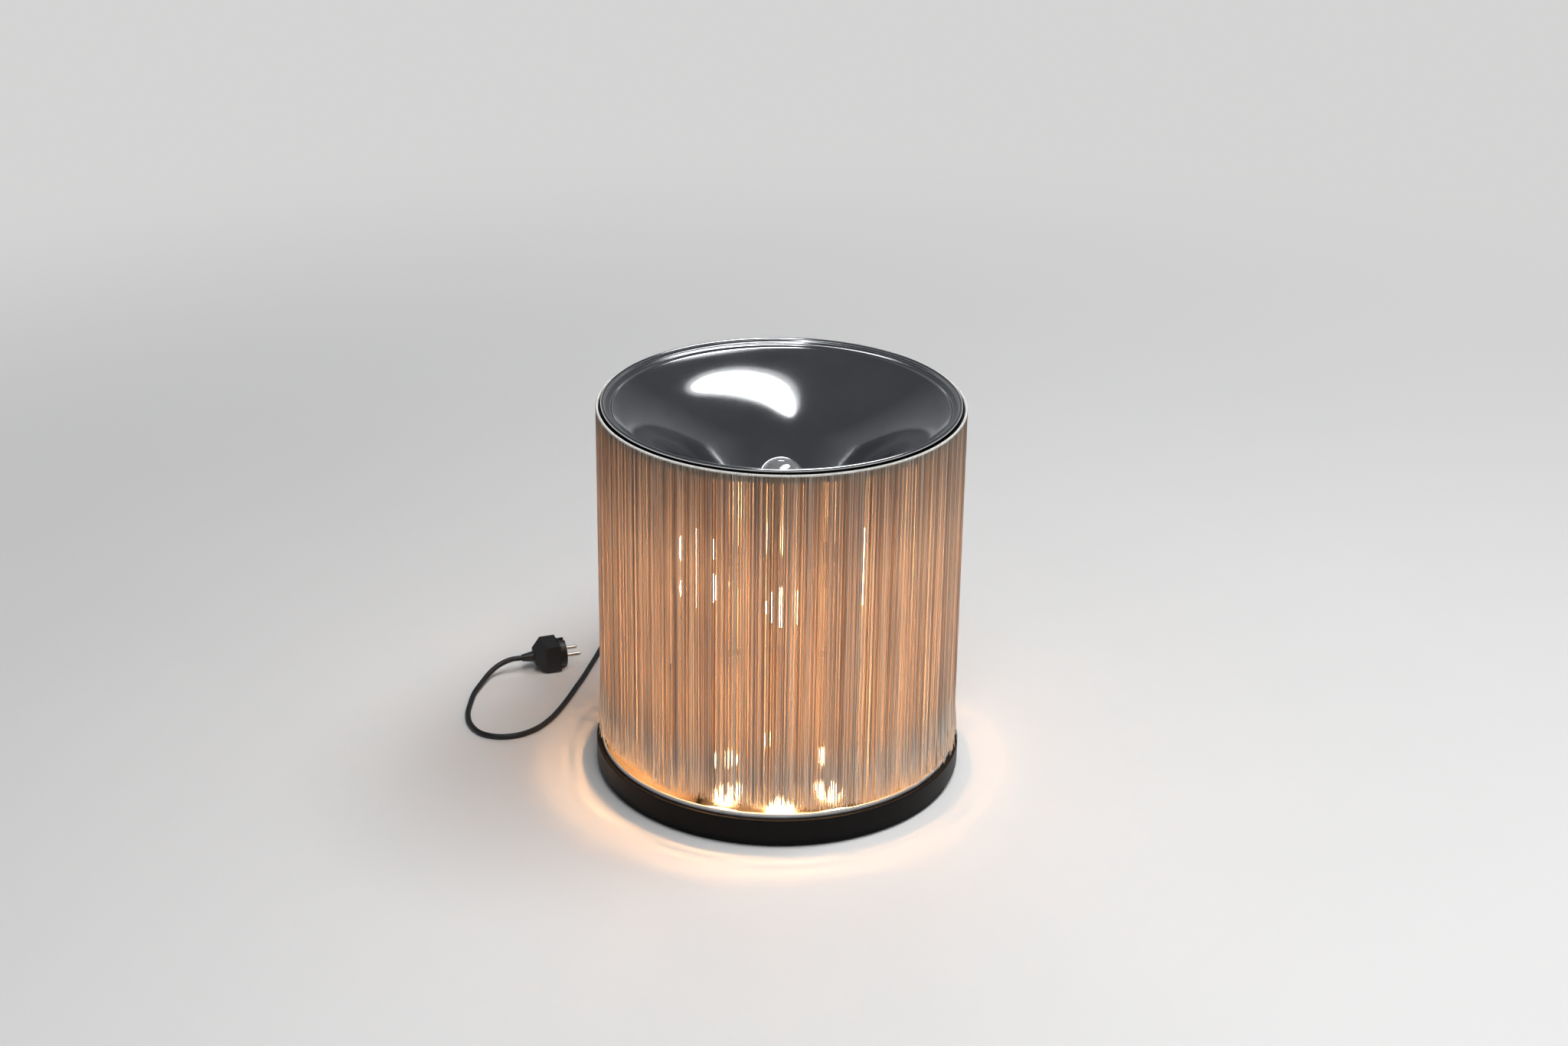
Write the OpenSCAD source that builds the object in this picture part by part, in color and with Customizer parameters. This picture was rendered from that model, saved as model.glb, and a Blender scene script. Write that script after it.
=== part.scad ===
// Cylinder fringe lamp: a black base with a polished lower reflector, a stem with a ring of
// small globe bulbs, a drum of hanging fringe, and a chrome dish with a silvered bulb on top.
// Millimetres, +Z up, origin at the centre of the underside. The front of the lamp is -Y.

/* [Overall] */
// Height to the top of the dish's rolled rim
lamp_h = 449; // [440:1:520]
// Outer diameter of the dish's rolled rim
dish_d = 400; // [390:1:440]

/* [Base] */
// Height of the recessed foot under the band
foot_h = 10; // [8:0.5:14]
// How far the foot stands in from the band
foot_inset = 4.5; // [3:0.5:8]
// Height of the black band
band_h = 25; // [24:0.5:40]
// How far the band stands out past the fringe
band_overhang = 5; // [3:0.5:10]
// Radius of the band's top edge
band_edge_r = 1.2; // [0.5:0.1:2.5]
// Sheet thickness of the base pan
pan_t = 2; // [1.5:0.1:3]
// Thickness of the felt ring under the foot
felt_t = 1.5; // [1.5:0.1:3]
// Width of the felt ring
felt_w = 11; // [8:0.5:12]
// Width of the foot ring's underside
foot_face_w = 15.5; // [13:0.5:20]
// Width of the shoulder that the bottom plate seats on
plate_shoulder_w = 4; // [3:0.5:6]
// Thickness of the bottom plate
plate_t = 1.5; // [1:0.1:2]
// Number of pillars and screws that hold the bottom plate
pillar_n = 6; // [4:2:12]
// Radius of a pillar
pillar_r = 4; // [3:0.25:5]

/* [Lower reflector] */
// How far the reflector's lip stands in from the band
lip_inset = 6; // [3:0.5:10]
// Width of the rolled lip
lip_w = 2.3; // [1.5:0.1:4]
// Height of the lip above the base pan
lip_h = 5; // [3:0.5:8]
// Flat seat between the lip and the dome
seat_w = 1.7; // [1:0.1:4]
// Rise of the reflector's dome from its edge to its middle
dome_rise = 34; // [15:1:60]
// Sheet thickness of the lower reflector
reflector_t = 1; // [0.8:0.1:2]

/* [Stem and hub] */
// Radius of the threaded stem tube
stem_r = 5; // [4.5:0.1:5.5]
// Radius of the stem's bore
stem_bore_r = 3.6; // [3.2:0.1:3.8]
// Radius of the tube that covers the stem
cover_tube_r = 8; // [7.5:0.25:10]
// Wall of that tube
cover_tube_t = 1; // [0.8:0.1:1.5]
// Radius of the hub
hub_r = 20; // [18:0.5:24]
// Height of the hub
hub_h = 32; // [28:1:40]
// Height of the spacer between the hub and the dish carrier
spacer_h = 4.3; // [3:0.1:12]

/* [Ring bulbs] */
// Number of bulbs round the hub
ring_n = 6; // [4:1:6]
// Direction of the first bulb, in degrees from +X
ring_turn = -86; // [-90:1:90]
// Radius where the lampholders begin
holder_start = 30; // [29:0.5:34]
// Length of a small lampholder
holder_l = 45; // [43:0.5:50]
// Radius of a small lampholder
holder_r = 13; // [11:0.25:13.5]
// Thickness of the holder's closed end
holder_floor = 18; // [16:0.5:20]
// Radius of the small bulb's cap
cap_r = 6.9; // [6.7:0.05:7]
// Length of a small bulb from contact to tip
globe_l = 78; // [72:1:84]
// Radius of the small bulb's globe
globe_r = 22.5; // [20:0.5:24]

/* [Top bulb] */
// Radius of the top lampholder
top_holder_r = 19.5; // [18:0.25:21]
// Height of the top lampholder
top_holder_h = 44; // [42:0.5:50]
// Thickness of its closed end
top_floor = 10; // [9:0.5:12]
// Radius of the top bulb's cap
top_cap_r = 13.05; // [12.8:0.05:13.2]
// Length of the top bulb from contact to crown
top_bulb_l = 97.5; // [92:0.5:110]
// Radius of the top bulb's globe
top_globe_r = 27.5; // [25:0.5:30]
// Wall of the bulbs' glass
glass_t = 0.8; // [0.6:0.1:1.2]
// Clearance of a bulb's cap in its threaded shell
thread_gap = 0.1; // [0.05:0.01:0.15]
// Wall of a threaded shell
shell_t = 0.6; // [0.4:0.1:0.8]
// Height of a contact spring
spring_h = 3.3; // [2.5:0.1:4]

/* [Dish] */
// Sheet thickness of the dish
dish_t = 1.2; // [1:0.1:2]
// Radius of the rolled rim
bead_r = 2.3; // [1.5:0.1:3.5]
// Drop of the ledge below the rim
ledge_drop = 4.8; // [4.6:0.1:6]
// Width of the flat ledge inside the rim
ledge_w = 6.2; // [4:0.1:10]
// Fall of the ledge towards the bowl
ledge_fall = 1.2; // [0.5:0.1:2]
// Width of the step inside the ledge
step_w = 1.5; // [1:0.1:3]
// Depth of the step
step_fall = 3; // [2:0.1:5]
// Width of the sloped band between the step and the bowl
slope_w = 7.5; // [5:0.5:12]
// Depth of the sloped band
slope_fall = 4; // [2:0.1:6]
// Depth of the bowl's floor below the rim, as a share of the rim's radius
bowl_depth_share = 0.5875; // [0.525:0.0025:0.625]
// Radius of the bowl's flat floor, as a share of the rim's radius
bowl_floor_share = 0.26; // [0.24:0.0025:0.29]
// Radius of the bend between the floor and the wall, as a share of the rim's radius
bowl_bend_share = 0.2; // [0.15:0.005:0.225]
// Steepest angle of the bowl's wall
bowl_wall_angle = 58; // [54:0.5:62]
// Angle at which the bowl flares out at its edge
bowl_edge_angle = 20; // [10:1:25]
// Radius of the hole that the top bulb stands in
dish_hole_r = 24; // [23:0.25:26]

/* [Dish carrier] */
// Depth of the cup under the dish
cup_h = 63.5; // [62:0.5:72]
// Sheet thickness of the carrier
carrier_t = 1.5; // [1:0.1:2]
// Radius of the carrier's flange
flange_r = 46; // [44:0.5:47]
// Radius of the bends in the carrier
carrier_bend_r = 3; // [2:0.25:4]
// Number of screws that hold the dish
dish_screw_n = 3; // [3:1:6]
// Radius of the circle that they stand on
dish_screw_at = 38; // [36:0.5:40]

/* [Fringe] */
// Gap between the dish's rim and the hoop
rim_gap = 0.7; // [0.5:0.1:1.5]
// Sheet thickness of the hoop
hoop_t = 1.5; // [1:0.1:2]
// Height of the hoop
hoop_h = 8; // [7:0.5:20]
// Drop of the hoop's top below the rim
hoop_drop = 7.2; // [6.9:0.1:7.8]
// Width of the hoop's flange
hoop_flange_w = 11.6; // [10:0.1:11.8]
// Thickness of the woven heading
heading_t = 2.6; // [2.2:0.1:3.5]
// Height of the woven heading
heading_h = 9; // [6:0.5:14]
// Drop of the heading's top edge below the rim
heading_drop = 4; // [2:0.5:6]
// Number of fringe panels
panel_n = 8; // [6:1:12]
// Number of strands in a panel
strand_n = 60; // [20:1:60]
// Share of the round that the strands fill
strand_fill = 0.86; // [0.5:0.01:0.9]
// Width and thickness of a strand's end, as shares of its top
strand_tip_w = 0.9; // [0.6:0.05:0.95]
strand_tip_t = 0.7; // [0.5:0.05:0.95]
// Thickness of a strand
strand_t = 1.2; // [0.8:0.1:1.5]
// Lowest and highest ends of the strands above the base pan
hem_low = 11; // [8:0.5:20]
hem_high = 27; // [22:0.5:60]
// Most that a strand's end leans outwards
hem_lean = 0.5; // [0:0.1:0.6]

/* [Cord] */
// Diameter of the mains lead
cord_d = 6.5; // [6:0.1:7]
// Height of the cord's gland
gland_z = 21; // [20:0.5:22]
// Radius of the gland's barrel
gland_r = 6; // [5:0.25:6]
// Length of the gland outside the band
gland_out = 26; // [20:1:30]
// Radius of the coil's outer turn
coil_r = 46; // [44:0.5:50]
// Step of the spiral in one turn
coil_step = 7.1; // [7.1:0.1:8]
// Height of one layer of the coil
coil_layer = 7.1; // [7.1:0.1:8]
// Length, width and height of the in-line switch
switch_l = 64; // [60:1:70]
switch_w = 27; // [24:1:30]
switch_h = 20; // [19:0.5:22]
// Turn of the switch's rocker between its two positions
rocker_turn = 14; // [8:1:16]

/* [Plug] */
// Radius of the plug's front disc
plug_r = 18.5; // [18:0.25:19]
// Length of the plug's body behind the disc
plug_l = 46; // [42:1:50]
// Thickness of the front disc
plug_disc_t = 8; // [6:0.5:10]
// Radius, length and spacing of the plug's pins
pin_r = 2.4; // [2:0.05:2.4]
pin_l = 19; // [18:0.5:20]
pin_gap = 19; // [18:0.5:20]

/* [Hidden] */
// Gap between pieces that slide together
slide_gap = 0.3;
// Gap between a spring and the contact that it meets
touch_gap = 0.2;
// Gap between a screw, tube or nipple and its hole
fit_gap = 0.05;
// Sides of round forms
$fn = 96;

// Radii from the rim outwards
rim_r = dish_d / 2;
hoop_or = rim_r + rim_gap + hoop_t;
heading_ir = hoop_or + slide_gap;
heading_or = heading_ir + heading_t;
band_r = heading_or + band_overhang;

// Base heights and radii
pan_top = foot_h + band_h;
pan_under = pan_top - pan_t;
foot_r = band_r - foot_inset;
foot_land_r = band_r - pan_t - slide_gap;
foot_land_z = foot_h + 1;
foot_ir = foot_r - foot_face_w - plate_shoulder_w;
plate_seat_r = foot_r - foot_face_w;
plate_top = felt_t + 3;
felt_or = foot_r - 2.5;
pillar_at = foot_ir - pillar_r - 2;
screw_r = 1.6;
screw_head_r = 3.5;
screw_head_h = 2;
screw_grip = 10;

// Lower reflector
lip_or = band_r - lip_inset;
dome_edge_r = lip_or - lip_w - seat_w;
dome_r = (dome_edge_r * dome_edge_r + dome_rise * dome_rise) / (2 * dome_rise);
dome_c = pan_top + reflector_t + dome_rise - dome_r;

// Dish heights and radii, from the rim inwards
bead_at = rim_r - bead_r;
rim_side_r = bead_at - bead_r;
rim_side_z = lamp_h - bead_r;
bead_foot = acos(1 - dish_t / bead_r);
bead_start = 165;
ledge_z = lamp_h - ledge_drop;
ledge_ir = rim_side_r - ledge_w;
step_ir = ledge_ir - step_w;
bowl_edge_r = step_ir - slope_w;
bowl_edge_z = ledge_z - ledge_fall - step_fall - slope_fall;
bowl_floor_z = lamp_h - bowl_depth_share * rim_r;
bowl_floor_r = bowl_floor_share * rim_r;
bowl_bend_r = bowl_bend_share * rim_r;
// Wall run and flare radius that join the bend to the bowl's edge
bowl_run = bowl_edge_r - bowl_floor_r - bowl_bend_r * sin(bowl_wall_angle);
bowl_rise = bowl_edge_z - bowl_floor_z - bowl_bend_r * (1 - cos(bowl_wall_angle));
flare_run = sin(bowl_wall_angle) - sin(bowl_edge_angle);
flare_rise = cos(bowl_edge_angle) - cos(bowl_wall_angle);
flare_r = (bowl_run * tan(bowl_wall_angle) - bowl_rise) / (flare_run * tan(bowl_wall_angle) - flare_rise);
wall_run = bowl_run - flare_r * flare_run;

// Carrier, hub and holders, from the dish downwards
flange_top = bowl_floor_z - dish_t;
cup_floor = flange_top - cup_h;
cup_under = cup_floor - carrier_t;
hub_top = cup_under - spacer_h;
hub_z = hub_top - hub_h / 2;
hub_under = hub_top - hub_h;
stem_top = cup_floor + 8;
stem_under = pan_under - 9;
spacer_r = 11;
washer_t = 1.5;
nut_h = 4;
nut_flats = 14;
nipple_start = 12;
nipple_end = holder_start + 6;

// Small lampholders and bulbs, along their own axis
shell_ir = cap_r + thread_gap;
shell_or = shell_ir + shell_t;
holder_in = holder_start + holder_floor;
holder_mouth = holder_start + holder_l;
globe_tip0 = holder_in + spring_h + touch_gap;
globe_c = globe_tip0 + globe_l - globe_r;
cap_top = holder_mouth + 1;
cap_wall = 0.5;
// Length of a glass neck inside its cap, and the angles at which globe and neck join
neck_seat = 9;
globe_join = 140;
top_join = 118;

// Top lampholder and bulb
top_shell_ir = top_cap_r + thread_gap;
top_shell_or = top_shell_ir + shell_t;
top_in = cup_floor + top_floor;
top_mouth = cup_floor + top_holder_h;
top_tip0 = top_in + spring_h + touch_gap;
top_globe_c = top_tip0 + top_bulb_l - top_globe_r;
top_cap_top = top_mouth + 1;

// Heights of the fringe
hoop_top = lamp_h - hoop_drop;
heading_top = lamp_h - heading_drop;
heading_under = heading_top - heading_h;
strand_at = heading_ir + heading_t / 2;
panel_angle = 360 / panel_n;
panel_gap_angle = 0.06;
strand_pitch = strand_at * panel_angle / strand_n * PI / 180;
strand_w = strand_fill * strand_pitch;
strand_grip = 2;
// Sideways lean that keeps neighbouring ends apart
side_lean = (strand_pitch - strand_w * strand_tip_w) / 2 - fit_gap;

// Wiring inside the base
block_size = [30, 18, 16];
block_y = 70;
wire_r = 1.2;
wire_x = 1.7;

// The cord lies on the table, its coil on the tie's strap
cord_r = cord_d / 2;
tie_t = 0.6;
tie_w = 5;
tie_gap = 0.3;
tie_angle = 225;
cord_z = cord_r + 0.05;
coil_z = cord_r + tie_t + tie_gap;
coil_c = [-40, 322];
coil_turns = 4.25;
coil_rings = 24;
tube_sides = 8;
coil_sides = 6;
gland_end = band_r + gland_out;
switch_c = [-102, coil_c.y + coil_r];
switch_mid = switch_h / 2;
plug_at = [-318, 206, plug_r + 0.05];
plug_dir = [cos(20), sin(20), 0];
plug_run = 14;

// Free stretches of the cord, chosen by hand where they lie
lead_pts = [
    [0, gland_end, gland_z], [0, 250, 20], [1, 265, 15], [3, 281, 8.5], [5, 298, 5],
    [coil_c.x + coil_r, coil_c.y - cord_d, coil_z]
];
link_pts = [
    [coil_c.x - cord_d, switch_c.y, coil_z + coil_layer],
    [coil_c.x - 2 * cord_d, switch_c.y, coil_z + coil_layer],
    [switch_c.x + switch_l / 2 + cord_d, switch_c.y, switch_mid],
    [switch_c.x + switch_l / 2, switch_c.y, switch_mid]
];
tail_pts = [
    [switch_c.x - switch_l / 2, switch_c.y, switch_mid],
    [switch_c.x - switch_l / 2 - cord_d, switch_c.y, switch_mid], [-153, 367.5, 7.7], [-169, 364, 4.6],
    [-187, 355, cord_z], [-202, 340, cord_z], [-212, 320, cord_z], [-218, 297, cord_z],
    [-223, 271, cord_z], [-228, 244, cord_z], [-234, 216, cord_z], [-240, 188, cord_z],
    [-247, 160, cord_z], [-254, 132, cord_z], [-262, 104, cord_z], [-272, 77, cord_z],
    [-286, 53, cord_z], [-306, 36, cord_z], [-330, 31, cord_z], [-352, 40, cord_z],
    [-366, 61, cord_z], [-372, 87, cord_z], [-372, 113, cord_z], [-370, 138, 4.2],
    [-363.5, 160, 6.8], [-355, 180.5, 10.8], [-344.7, 193.4, 15], plug_at - plug_run * plug_dir, plug_at
];

// Plane curves

function unit(v) = v / norm(v);

// Points of an arc, from one angle to another
function arc(c, r, a0, a1, n) =
    [for (i = [0:n]) let (a = a0 + (a1 - a0) * i / n) c + r * [cos(a), sin(a)]];

// Points of a curve from a to c, pulled towards b
function bend(a, b, c, n) =
    [for (i = [0:n]) let (t = i / n) (1 - t) * (1 - t) * a + 2 * t * (1 - t) * b + t * t * c];

function right_of(p, q) = let (d = unit(q - p)) [d.y, -d.x];

// A point of a path, moved by t to the right of the way it runs
function moved(pts, i, t) =
    let (
        last = len(pts) - 1,
        a = right_of(pts[max(i - 1, 0)], pts[max(i, 1)]),
        b = right_of(pts[min(i, last - 1)], pts[min(i + 1, last)]),
        m = unit(a + b)
    )
    pts[i] + m * t / (m * a);

// Outline of sheet metal of thickness t that follows a path on its upper face
function sheet(pts, t) = concat(pts, [for (i = [len(pts) - 1:-1:0]) moved(pts, i, t)]);

// Tubes through space

function spline(a, b, c, d, t) =
    b + 0.5 * t * (c - a + t * (2 * a - 5 * b + 4 * c - d + t * (3 * (b - c) + d - a)));

// A smooth path through the points, with k steps between two of them
function smooth(pts, k) =
    let (n = len(pts) - 1)
    concat(
        [for (i = [0:n - 1], j = [0:k - 1])
            let (
                before = i == 0 ? 2 * pts[0] - pts[1] : pts[i - 1],
                after = i == n - 1 ? 2 * pts[n] - pts[n - 1] : pts[i + 2]
            )
            spline(before, pts[i], pts[i + 1], after, j / k)],
        [pts[n]]
    );

function path_length(p) = len(p) < 2 ? 0 : [for (i = [1:len(p) - 1]) norm(p[i] - p[i - 1])]
    * [for (i = [1:len(p) - 1]) 1];

// A ring of n points round the path's point i
function ring(path, i, r, n) =
    let (
        last = len(path) - 1,
        d = unit(path[min(i + 1, last)] - path[max(i - 1, 0)]),
        side = unit(cross([0, 0, 1], d)),
        up = cross(d, side)
    )
    [for (j = [0:n - 1]) let (a = 360 * (j + 0.5) / n) path[i] + r * (cos(a) * side + sin(a) * up)];

// Triangles of a tube of m rings with n points each, counted from point o
function tube_faces(m, n, o = 0) = concat(
    [for (i = [0:m - 2], j = [0:n - 1], s = [0, 1])
        let (
            a = o + i * n + j,
            b = o + i * n + (j + 1) % n
        )
        s == 0 ? [a, b + n, b] : [a, a + n, b + n]],
    [for (j = [1:n - 2]) [o, o + j, o + j + 1]],
    [for (j = [1:n - 2]) [o + (m - 1) * n, o + (m - 1) * n + j + 1, o + (m - 1) * n + j]]
);

module tube(path, r, n) {
    rings = [for (i = [0:len(path) - 1]) each ring(path, i, r, n)];
    polyhedron(rings, tube_faces(len(path), n));
}

// Base

module cord_hole() {
    translate([0, foot_ir - 10, gland_z])
        rotate([-90, 0, 0])
            cylinder(r = gland_r + fit_gap, h = band_r - foot_ir + 20);
}

module at_pillars() {
    for (i = [0:pillar_n - 1])
        rotate(360 / pillar_n * (i + 0.5) - 90)
            translate([pillar_at, 0, 0])
                children();
}

module felt_ring() {
    color([0.1, 0.1, 0.1])
        difference() {
            cylinder(r = felt_or, h = felt_t);
            translate([0, 0, -1])
                cylinder(r = felt_or - felt_w, h = felt_t + 2);
        }
}

module foot_ring() {
    color([0.06, 0.06, 0.06])
        difference() {
            rotate_extrude()
                polygon([
                    [foot_ir, plate_top], [plate_seat_r, plate_top], [plate_seat_r, felt_t],
                    [foot_r, felt_t], [foot_r, foot_land_z], [foot_land_r, foot_land_z],
                    [foot_land_r, pan_under], [foot_ir, pan_under]
                ]);
            cord_hole();
        }
}

module bottom_plate() {
    color([0.35, 0.35, 0.36])
        difference() {
            translate([0, 0, plate_top - plate_t])
                cylinder(r = plate_seat_r - slide_gap, h = plate_t);
            at_pillars()
                cylinder(r = screw_r + slide_gap, h = plate_top + 1);
        }
}

module bottom_screws() {
    color([0.7, 0.7, 0.7])
        at_pillars() {
            translate([0, 0, plate_top - plate_t - screw_head_h])
                cylinder(r = screw_head_r, h = screw_head_h);
            translate([0, 0, plate_top - plate_t - screw_head_h])
                cylinder(r = screw_r, h = screw_head_h + plate_t + screw_grip);
        }
}

module base_pan() {
    color([0.09, 0.085, 0.09])
        difference() {
            union() {
                rotate_extrude()
                    polygon(concat(
                        [[stem_r + fit_gap, pan_under], [band_r - pan_t, pan_under],
                            [band_r - pan_t, foot_h], [band_r, foot_h]],
                        arc([band_r - band_edge_r, pan_top - band_edge_r], band_edge_r, 0, 90, 4),
                        [[stem_r + fit_gap, pan_top]]
                    ));
                at_pillars()
                    translate([0, 0, plate_top])
                        cylinder(r = pillar_r, h = pan_under - plate_top + 0.5);
            }
            at_pillars()
                translate([0, 0, plate_top - 1])
                    cylinder(r = screw_r + fit_gap, h = 13);
            cord_hole();
        }
}

module lower_reflector() {
    edge_angle = acos(dome_edge_r / dome_r);
    hole_angle = acos((cover_tube_r + slide_gap) / dome_r);
    lip_top = pan_top + lip_h - lip_w / 2;
    color([0.85, 0.84, 0.82])
        rotate_extrude()
            polygon(concat(
                arc([0, dome_c], dome_r, hole_angle, edge_angle, 16),
                [[lip_or - lip_w, pan_top + reflector_t]],
                arc([lip_or - lip_w / 2, lip_top], lip_w / 2, 180, 0, 10),
                [[lip_or, pan_top], [dome_edge_r, pan_top]],
                arc([0, dome_c], dome_r - reflector_t, edge_angle + 0.3, hole_angle, 16)
            ));
}

module terminal_block() {
    color([0.9, 0.88, 0.8])
        difference() {
            translate([-block_size.x / 2, block_y - block_size.y / 2, pan_under - block_size.z])
                cube(block_size);
            for (x = [-9, 0, 9])
                translate([x, block_y, pan_under - block_size.z - 1])
                    cylinder(r = 2, h = 7);
        }
}

module inner_wiring() {
    front = block_y - block_size.y / 2;
    back = block_y + block_size.y / 2;
    color([0.08, 0.08, 0.08])
        translate([0, back, gland_z])
            rotate([-90, 0, 0])
                cylinder(r = cord_r, h = foot_ir - 6 - back);
    color([0.2, 0.3, 0.6])
        for (x = [-wire_x, wire_x]) {
            translate([x, 0, gland_z])
                rotate([-90, 0, 0])
                    cylinder(r = wire_r, h = front);
            translate([x, 0, gland_z])
                sphere(r = wire_r);
            translate([x, 0, gland_z])
                cylinder(r = wire_r, h = hub_z - gland_z);
        }
}

// Stem, hub and dish carrier

module stem_tube() {
    color([0.75, 0.72, 0.6])
        difference() {
            translate([0, 0, stem_under])
                cylinder(r = stem_r, h = stem_top - stem_under);
            translate([0, 0, stem_under - 1])
                cylinder(r = stem_bore_r, h = stem_top - stem_under + 2);
        }
}

module stem_nuts() {
    color([0.75, 0.72, 0.6])
        difference() {
            union() {
                translate([0, 0, pan_under - washer_t])
                    cylinder(r = spacer_r, h = washer_t);
                translate([0, 0, pan_under - washer_t - nut_h])
                    cylinder(r = nut_flats / sqrt(3), h = nut_h, $fn = 6);
            }
            translate([0, 0, pan_under - washer_t - nut_h - 1])
                cylinder(r = stem_r + fit_gap, h = washer_t + nut_h + 2);
        }
}

// The long tube under the hub and the short spacer above it
module spacer_tubes() {
    color([0.8, 0.8, 0.8]) {
        shell(pan_top, hub_under, cover_tube_r - cover_tube_t, cover_tube_r);
        shell(hub_top, cup_under, stem_r + fit_gap, spacer_r);
    }
}

// Puts a piece that is drawn along +Z on the axis of ring bulb k
module on_ring(k) {
    rotate(ring_turn + 360 / ring_n * (k - 1))
        translate([0, 0, hub_z])
            rotate([0, 90, 0])
                children();
}

module hub() {
    chamfer = 2.5;
    color([0.8, 0.8, 0.8])
        difference() {
            rotate_extrude()
                polygon([
                    [stem_r + fit_gap, hub_under], [hub_r - chamfer, hub_under],
                    [hub_r, hub_under + chamfer], [hub_r, hub_top - chamfer],
                    [hub_r - chamfer, hub_top], [stem_r + fit_gap, hub_top]
                ]);
            for (k = [1:ring_n])
                on_ring(k)
                    translate([0, 0, nipple_start])
                        cylinder(r = stem_r + fit_gap, h = hub_r);
        }
}

module arm_nipples() {
    color([0.75, 0.72, 0.6])
        for (k = [1:ring_n])
            on_ring(k)
                difference() {
                    translate([0, 0, nipple_start])
                        cylinder(r = stem_r, h = nipple_end - nipple_start);
                    translate([0, 0, nipple_start - 1])
                        cylinder(r = stem_bore_r, h = nipple_end - nipple_start + 2);
                }
}

module dish_carrier() {
    bend_at = dish_hole_r + carrier_bend_r;
    path = concat(
        [[stem_r + fit_gap, cup_floor]],
        arc([dish_hole_r - carrier_bend_r, cup_floor + carrier_bend_r], carrier_bend_r, -90, 0, 5),
        arc([bend_at, flange_top - carrier_bend_r], carrier_bend_r, 180, 90, 5),
        [[flange_r, flange_top]]
    );
    color([0.6, 0.6, 0.62])
        difference() {
            rotate_extrude()
                polygon(sheet(path, carrier_t));
            at_dish_screws()
                translate([0, 0, flange_top - carrier_t - 5])
                    cylinder(r = screw_r + fit_gap, h = carrier_t + 10);
        }
}

module at_dish_screws() {
    for (i = [0:dish_screw_n - 1])
        rotate(360 / dish_screw_n * i + 30)
            translate([dish_screw_at, 0, 0])
                children();
}

module dish_screws() {
    color([0.8, 0.8, 0.8])
        at_dish_screws() {
            translate([0, 0, bowl_floor_z])
                cylinder(r = screw_head_r, h = screw_head_h);
            translate([0, 0, flange_top - carrier_t - 3])
                cylinder(r = screw_r, h = dish_t + carrier_t + 3 + screw_head_h);
        }
}

// Lampholders, drawn along +Z

// A lampholder's body: from its back end to its mouth, with the shell's bore and the stem's entry
module holder_body(z0, r, l, floor_t, bore_r, entry_l) {
    lip = 1.5;
    neck = 8;
    difference() {
        rotate_extrude()
            polygon([
                [0, z0], [r - 3, z0], [r - 2, z0 + 1], [r - 2, z0 + neck], [r, z0 + neck + 2],
                [r, z0 + l - 14], [r - 0.8, z0 + l - 14], [r - 0.8, z0 + l - 10],
                [r, z0 + l - 10], [r, z0 + l - lip], [r - lip, z0 + l], [0, z0 + l]
            ]);
        translate([0, 0, z0 + floor_t])
            cylinder(r = bore_r + fit_gap, h = l);
        translate([0, 0, z0 - 1])
            cylinder(r = stem_r + fit_gap, h = entry_l + 1);
    }
}

module lampholder(k) {
    color([0.13, 0.1, 0.08])
        on_ring(k)
            holder_body(holder_start, holder_r, holder_l, holder_floor, shell_or,
                nipple_end - holder_start);
}

module top_lampholder() {
    color([0.13, 0.1, 0.08])
        holder_body(cup_floor, top_holder_r, top_holder_h, top_floor, top_shell_or, stem_top - cup_floor);
}

module shell(z0, z1, ri, ro) {
    difference() {
        translate([0, 0, z0])
            cylinder(r = ro, h = z1 - z0);
        translate([0, 0, z0 - 1])
            cylinder(r = ri, h = z1 - z0 + 2);
    }
}

module screw_shells() {
    color([0.8, 0.65, 0.3]) {
        for (k = [1:ring_n])
            on_ring(k)
                shell(holder_in, holder_mouth - 1, shell_ir, shell_or);
        shell(top_in, top_mouth - 1, top_shell_ir, top_shell_or);
    }
}

// A leaf spring on a holder's floor, bent up to meet the bulb's contact
module leaf(z0, half) {
    leaf_t = 0.5;
    crest = spring_h - leaf_t;
    path = [[-half, leaf_t], [half - 1.5, leaf_t], [half - 1, 1.2], [-1, crest], [-3, crest]];
    translate([0, 2, z0])
        rotate([90, 0, 0])
            linear_extrude(4)
                polygon(sheet(path, leaf_t));
}

module contact_springs() {
    color([0.8, 0.65, 0.3]) {
        for (k = [1:ring_n])
            on_ring(k)
                leaf(holder_in, 6);
        leaf(top_in, 9);
    }
}

// Bulbs, drawn along +Z from the contact

module bulb_cap(r, z0, z1) {
    foot = 0.55 * r;
    rotate_extrude()
        polygon([
            [0, z0], [foot - 1, z0], [foot, z0 + 0.6], [foot, z0 + 1.2], [r - 0.8, z0 + 2.6], [r, z0 + 3.4],
            [r, z1], [r - cap_wall, z1], [r - cap_wall, z0 + 4.2], [0, z0 + 4.2]
        ]);
}

// Side of a bulb's glass, from its neck in the cap to its tip
function globe(r, c, neck, z0, z1, join) =
    let (
        p = [r * sin(join), c + r * cos(join)],
        t = (p.x - neck) / -cos(join)
    )
    concat(
        [[neck, z0]],
        bend([neck, z1], [neck, p.y - t * sin(join)], p, 8),
        [for (i = [1:16]) let (a = join * (1 - i / 16)) [i == 16 ? 0 : r * sin(a), c + r * cos(a)]]
    );

module bulb_glass(r, c, neck, z0, z1, join) {
    outside = globe(r, c, neck, z0, z1, join);
    inside = globe(r - glass_t, c, neck - glass_t, z0, z1, join);
    rotate_extrude()
        polygon(concat(outside, [for (i = [len(inside) - 1:-1:0]) inside[i]]));
}

module ring_cap(k) {
    color([0.78, 0.74, 0.62])
        on_ring(k)
            bulb_cap(cap_r, globe_tip0, cap_top);
}

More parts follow.
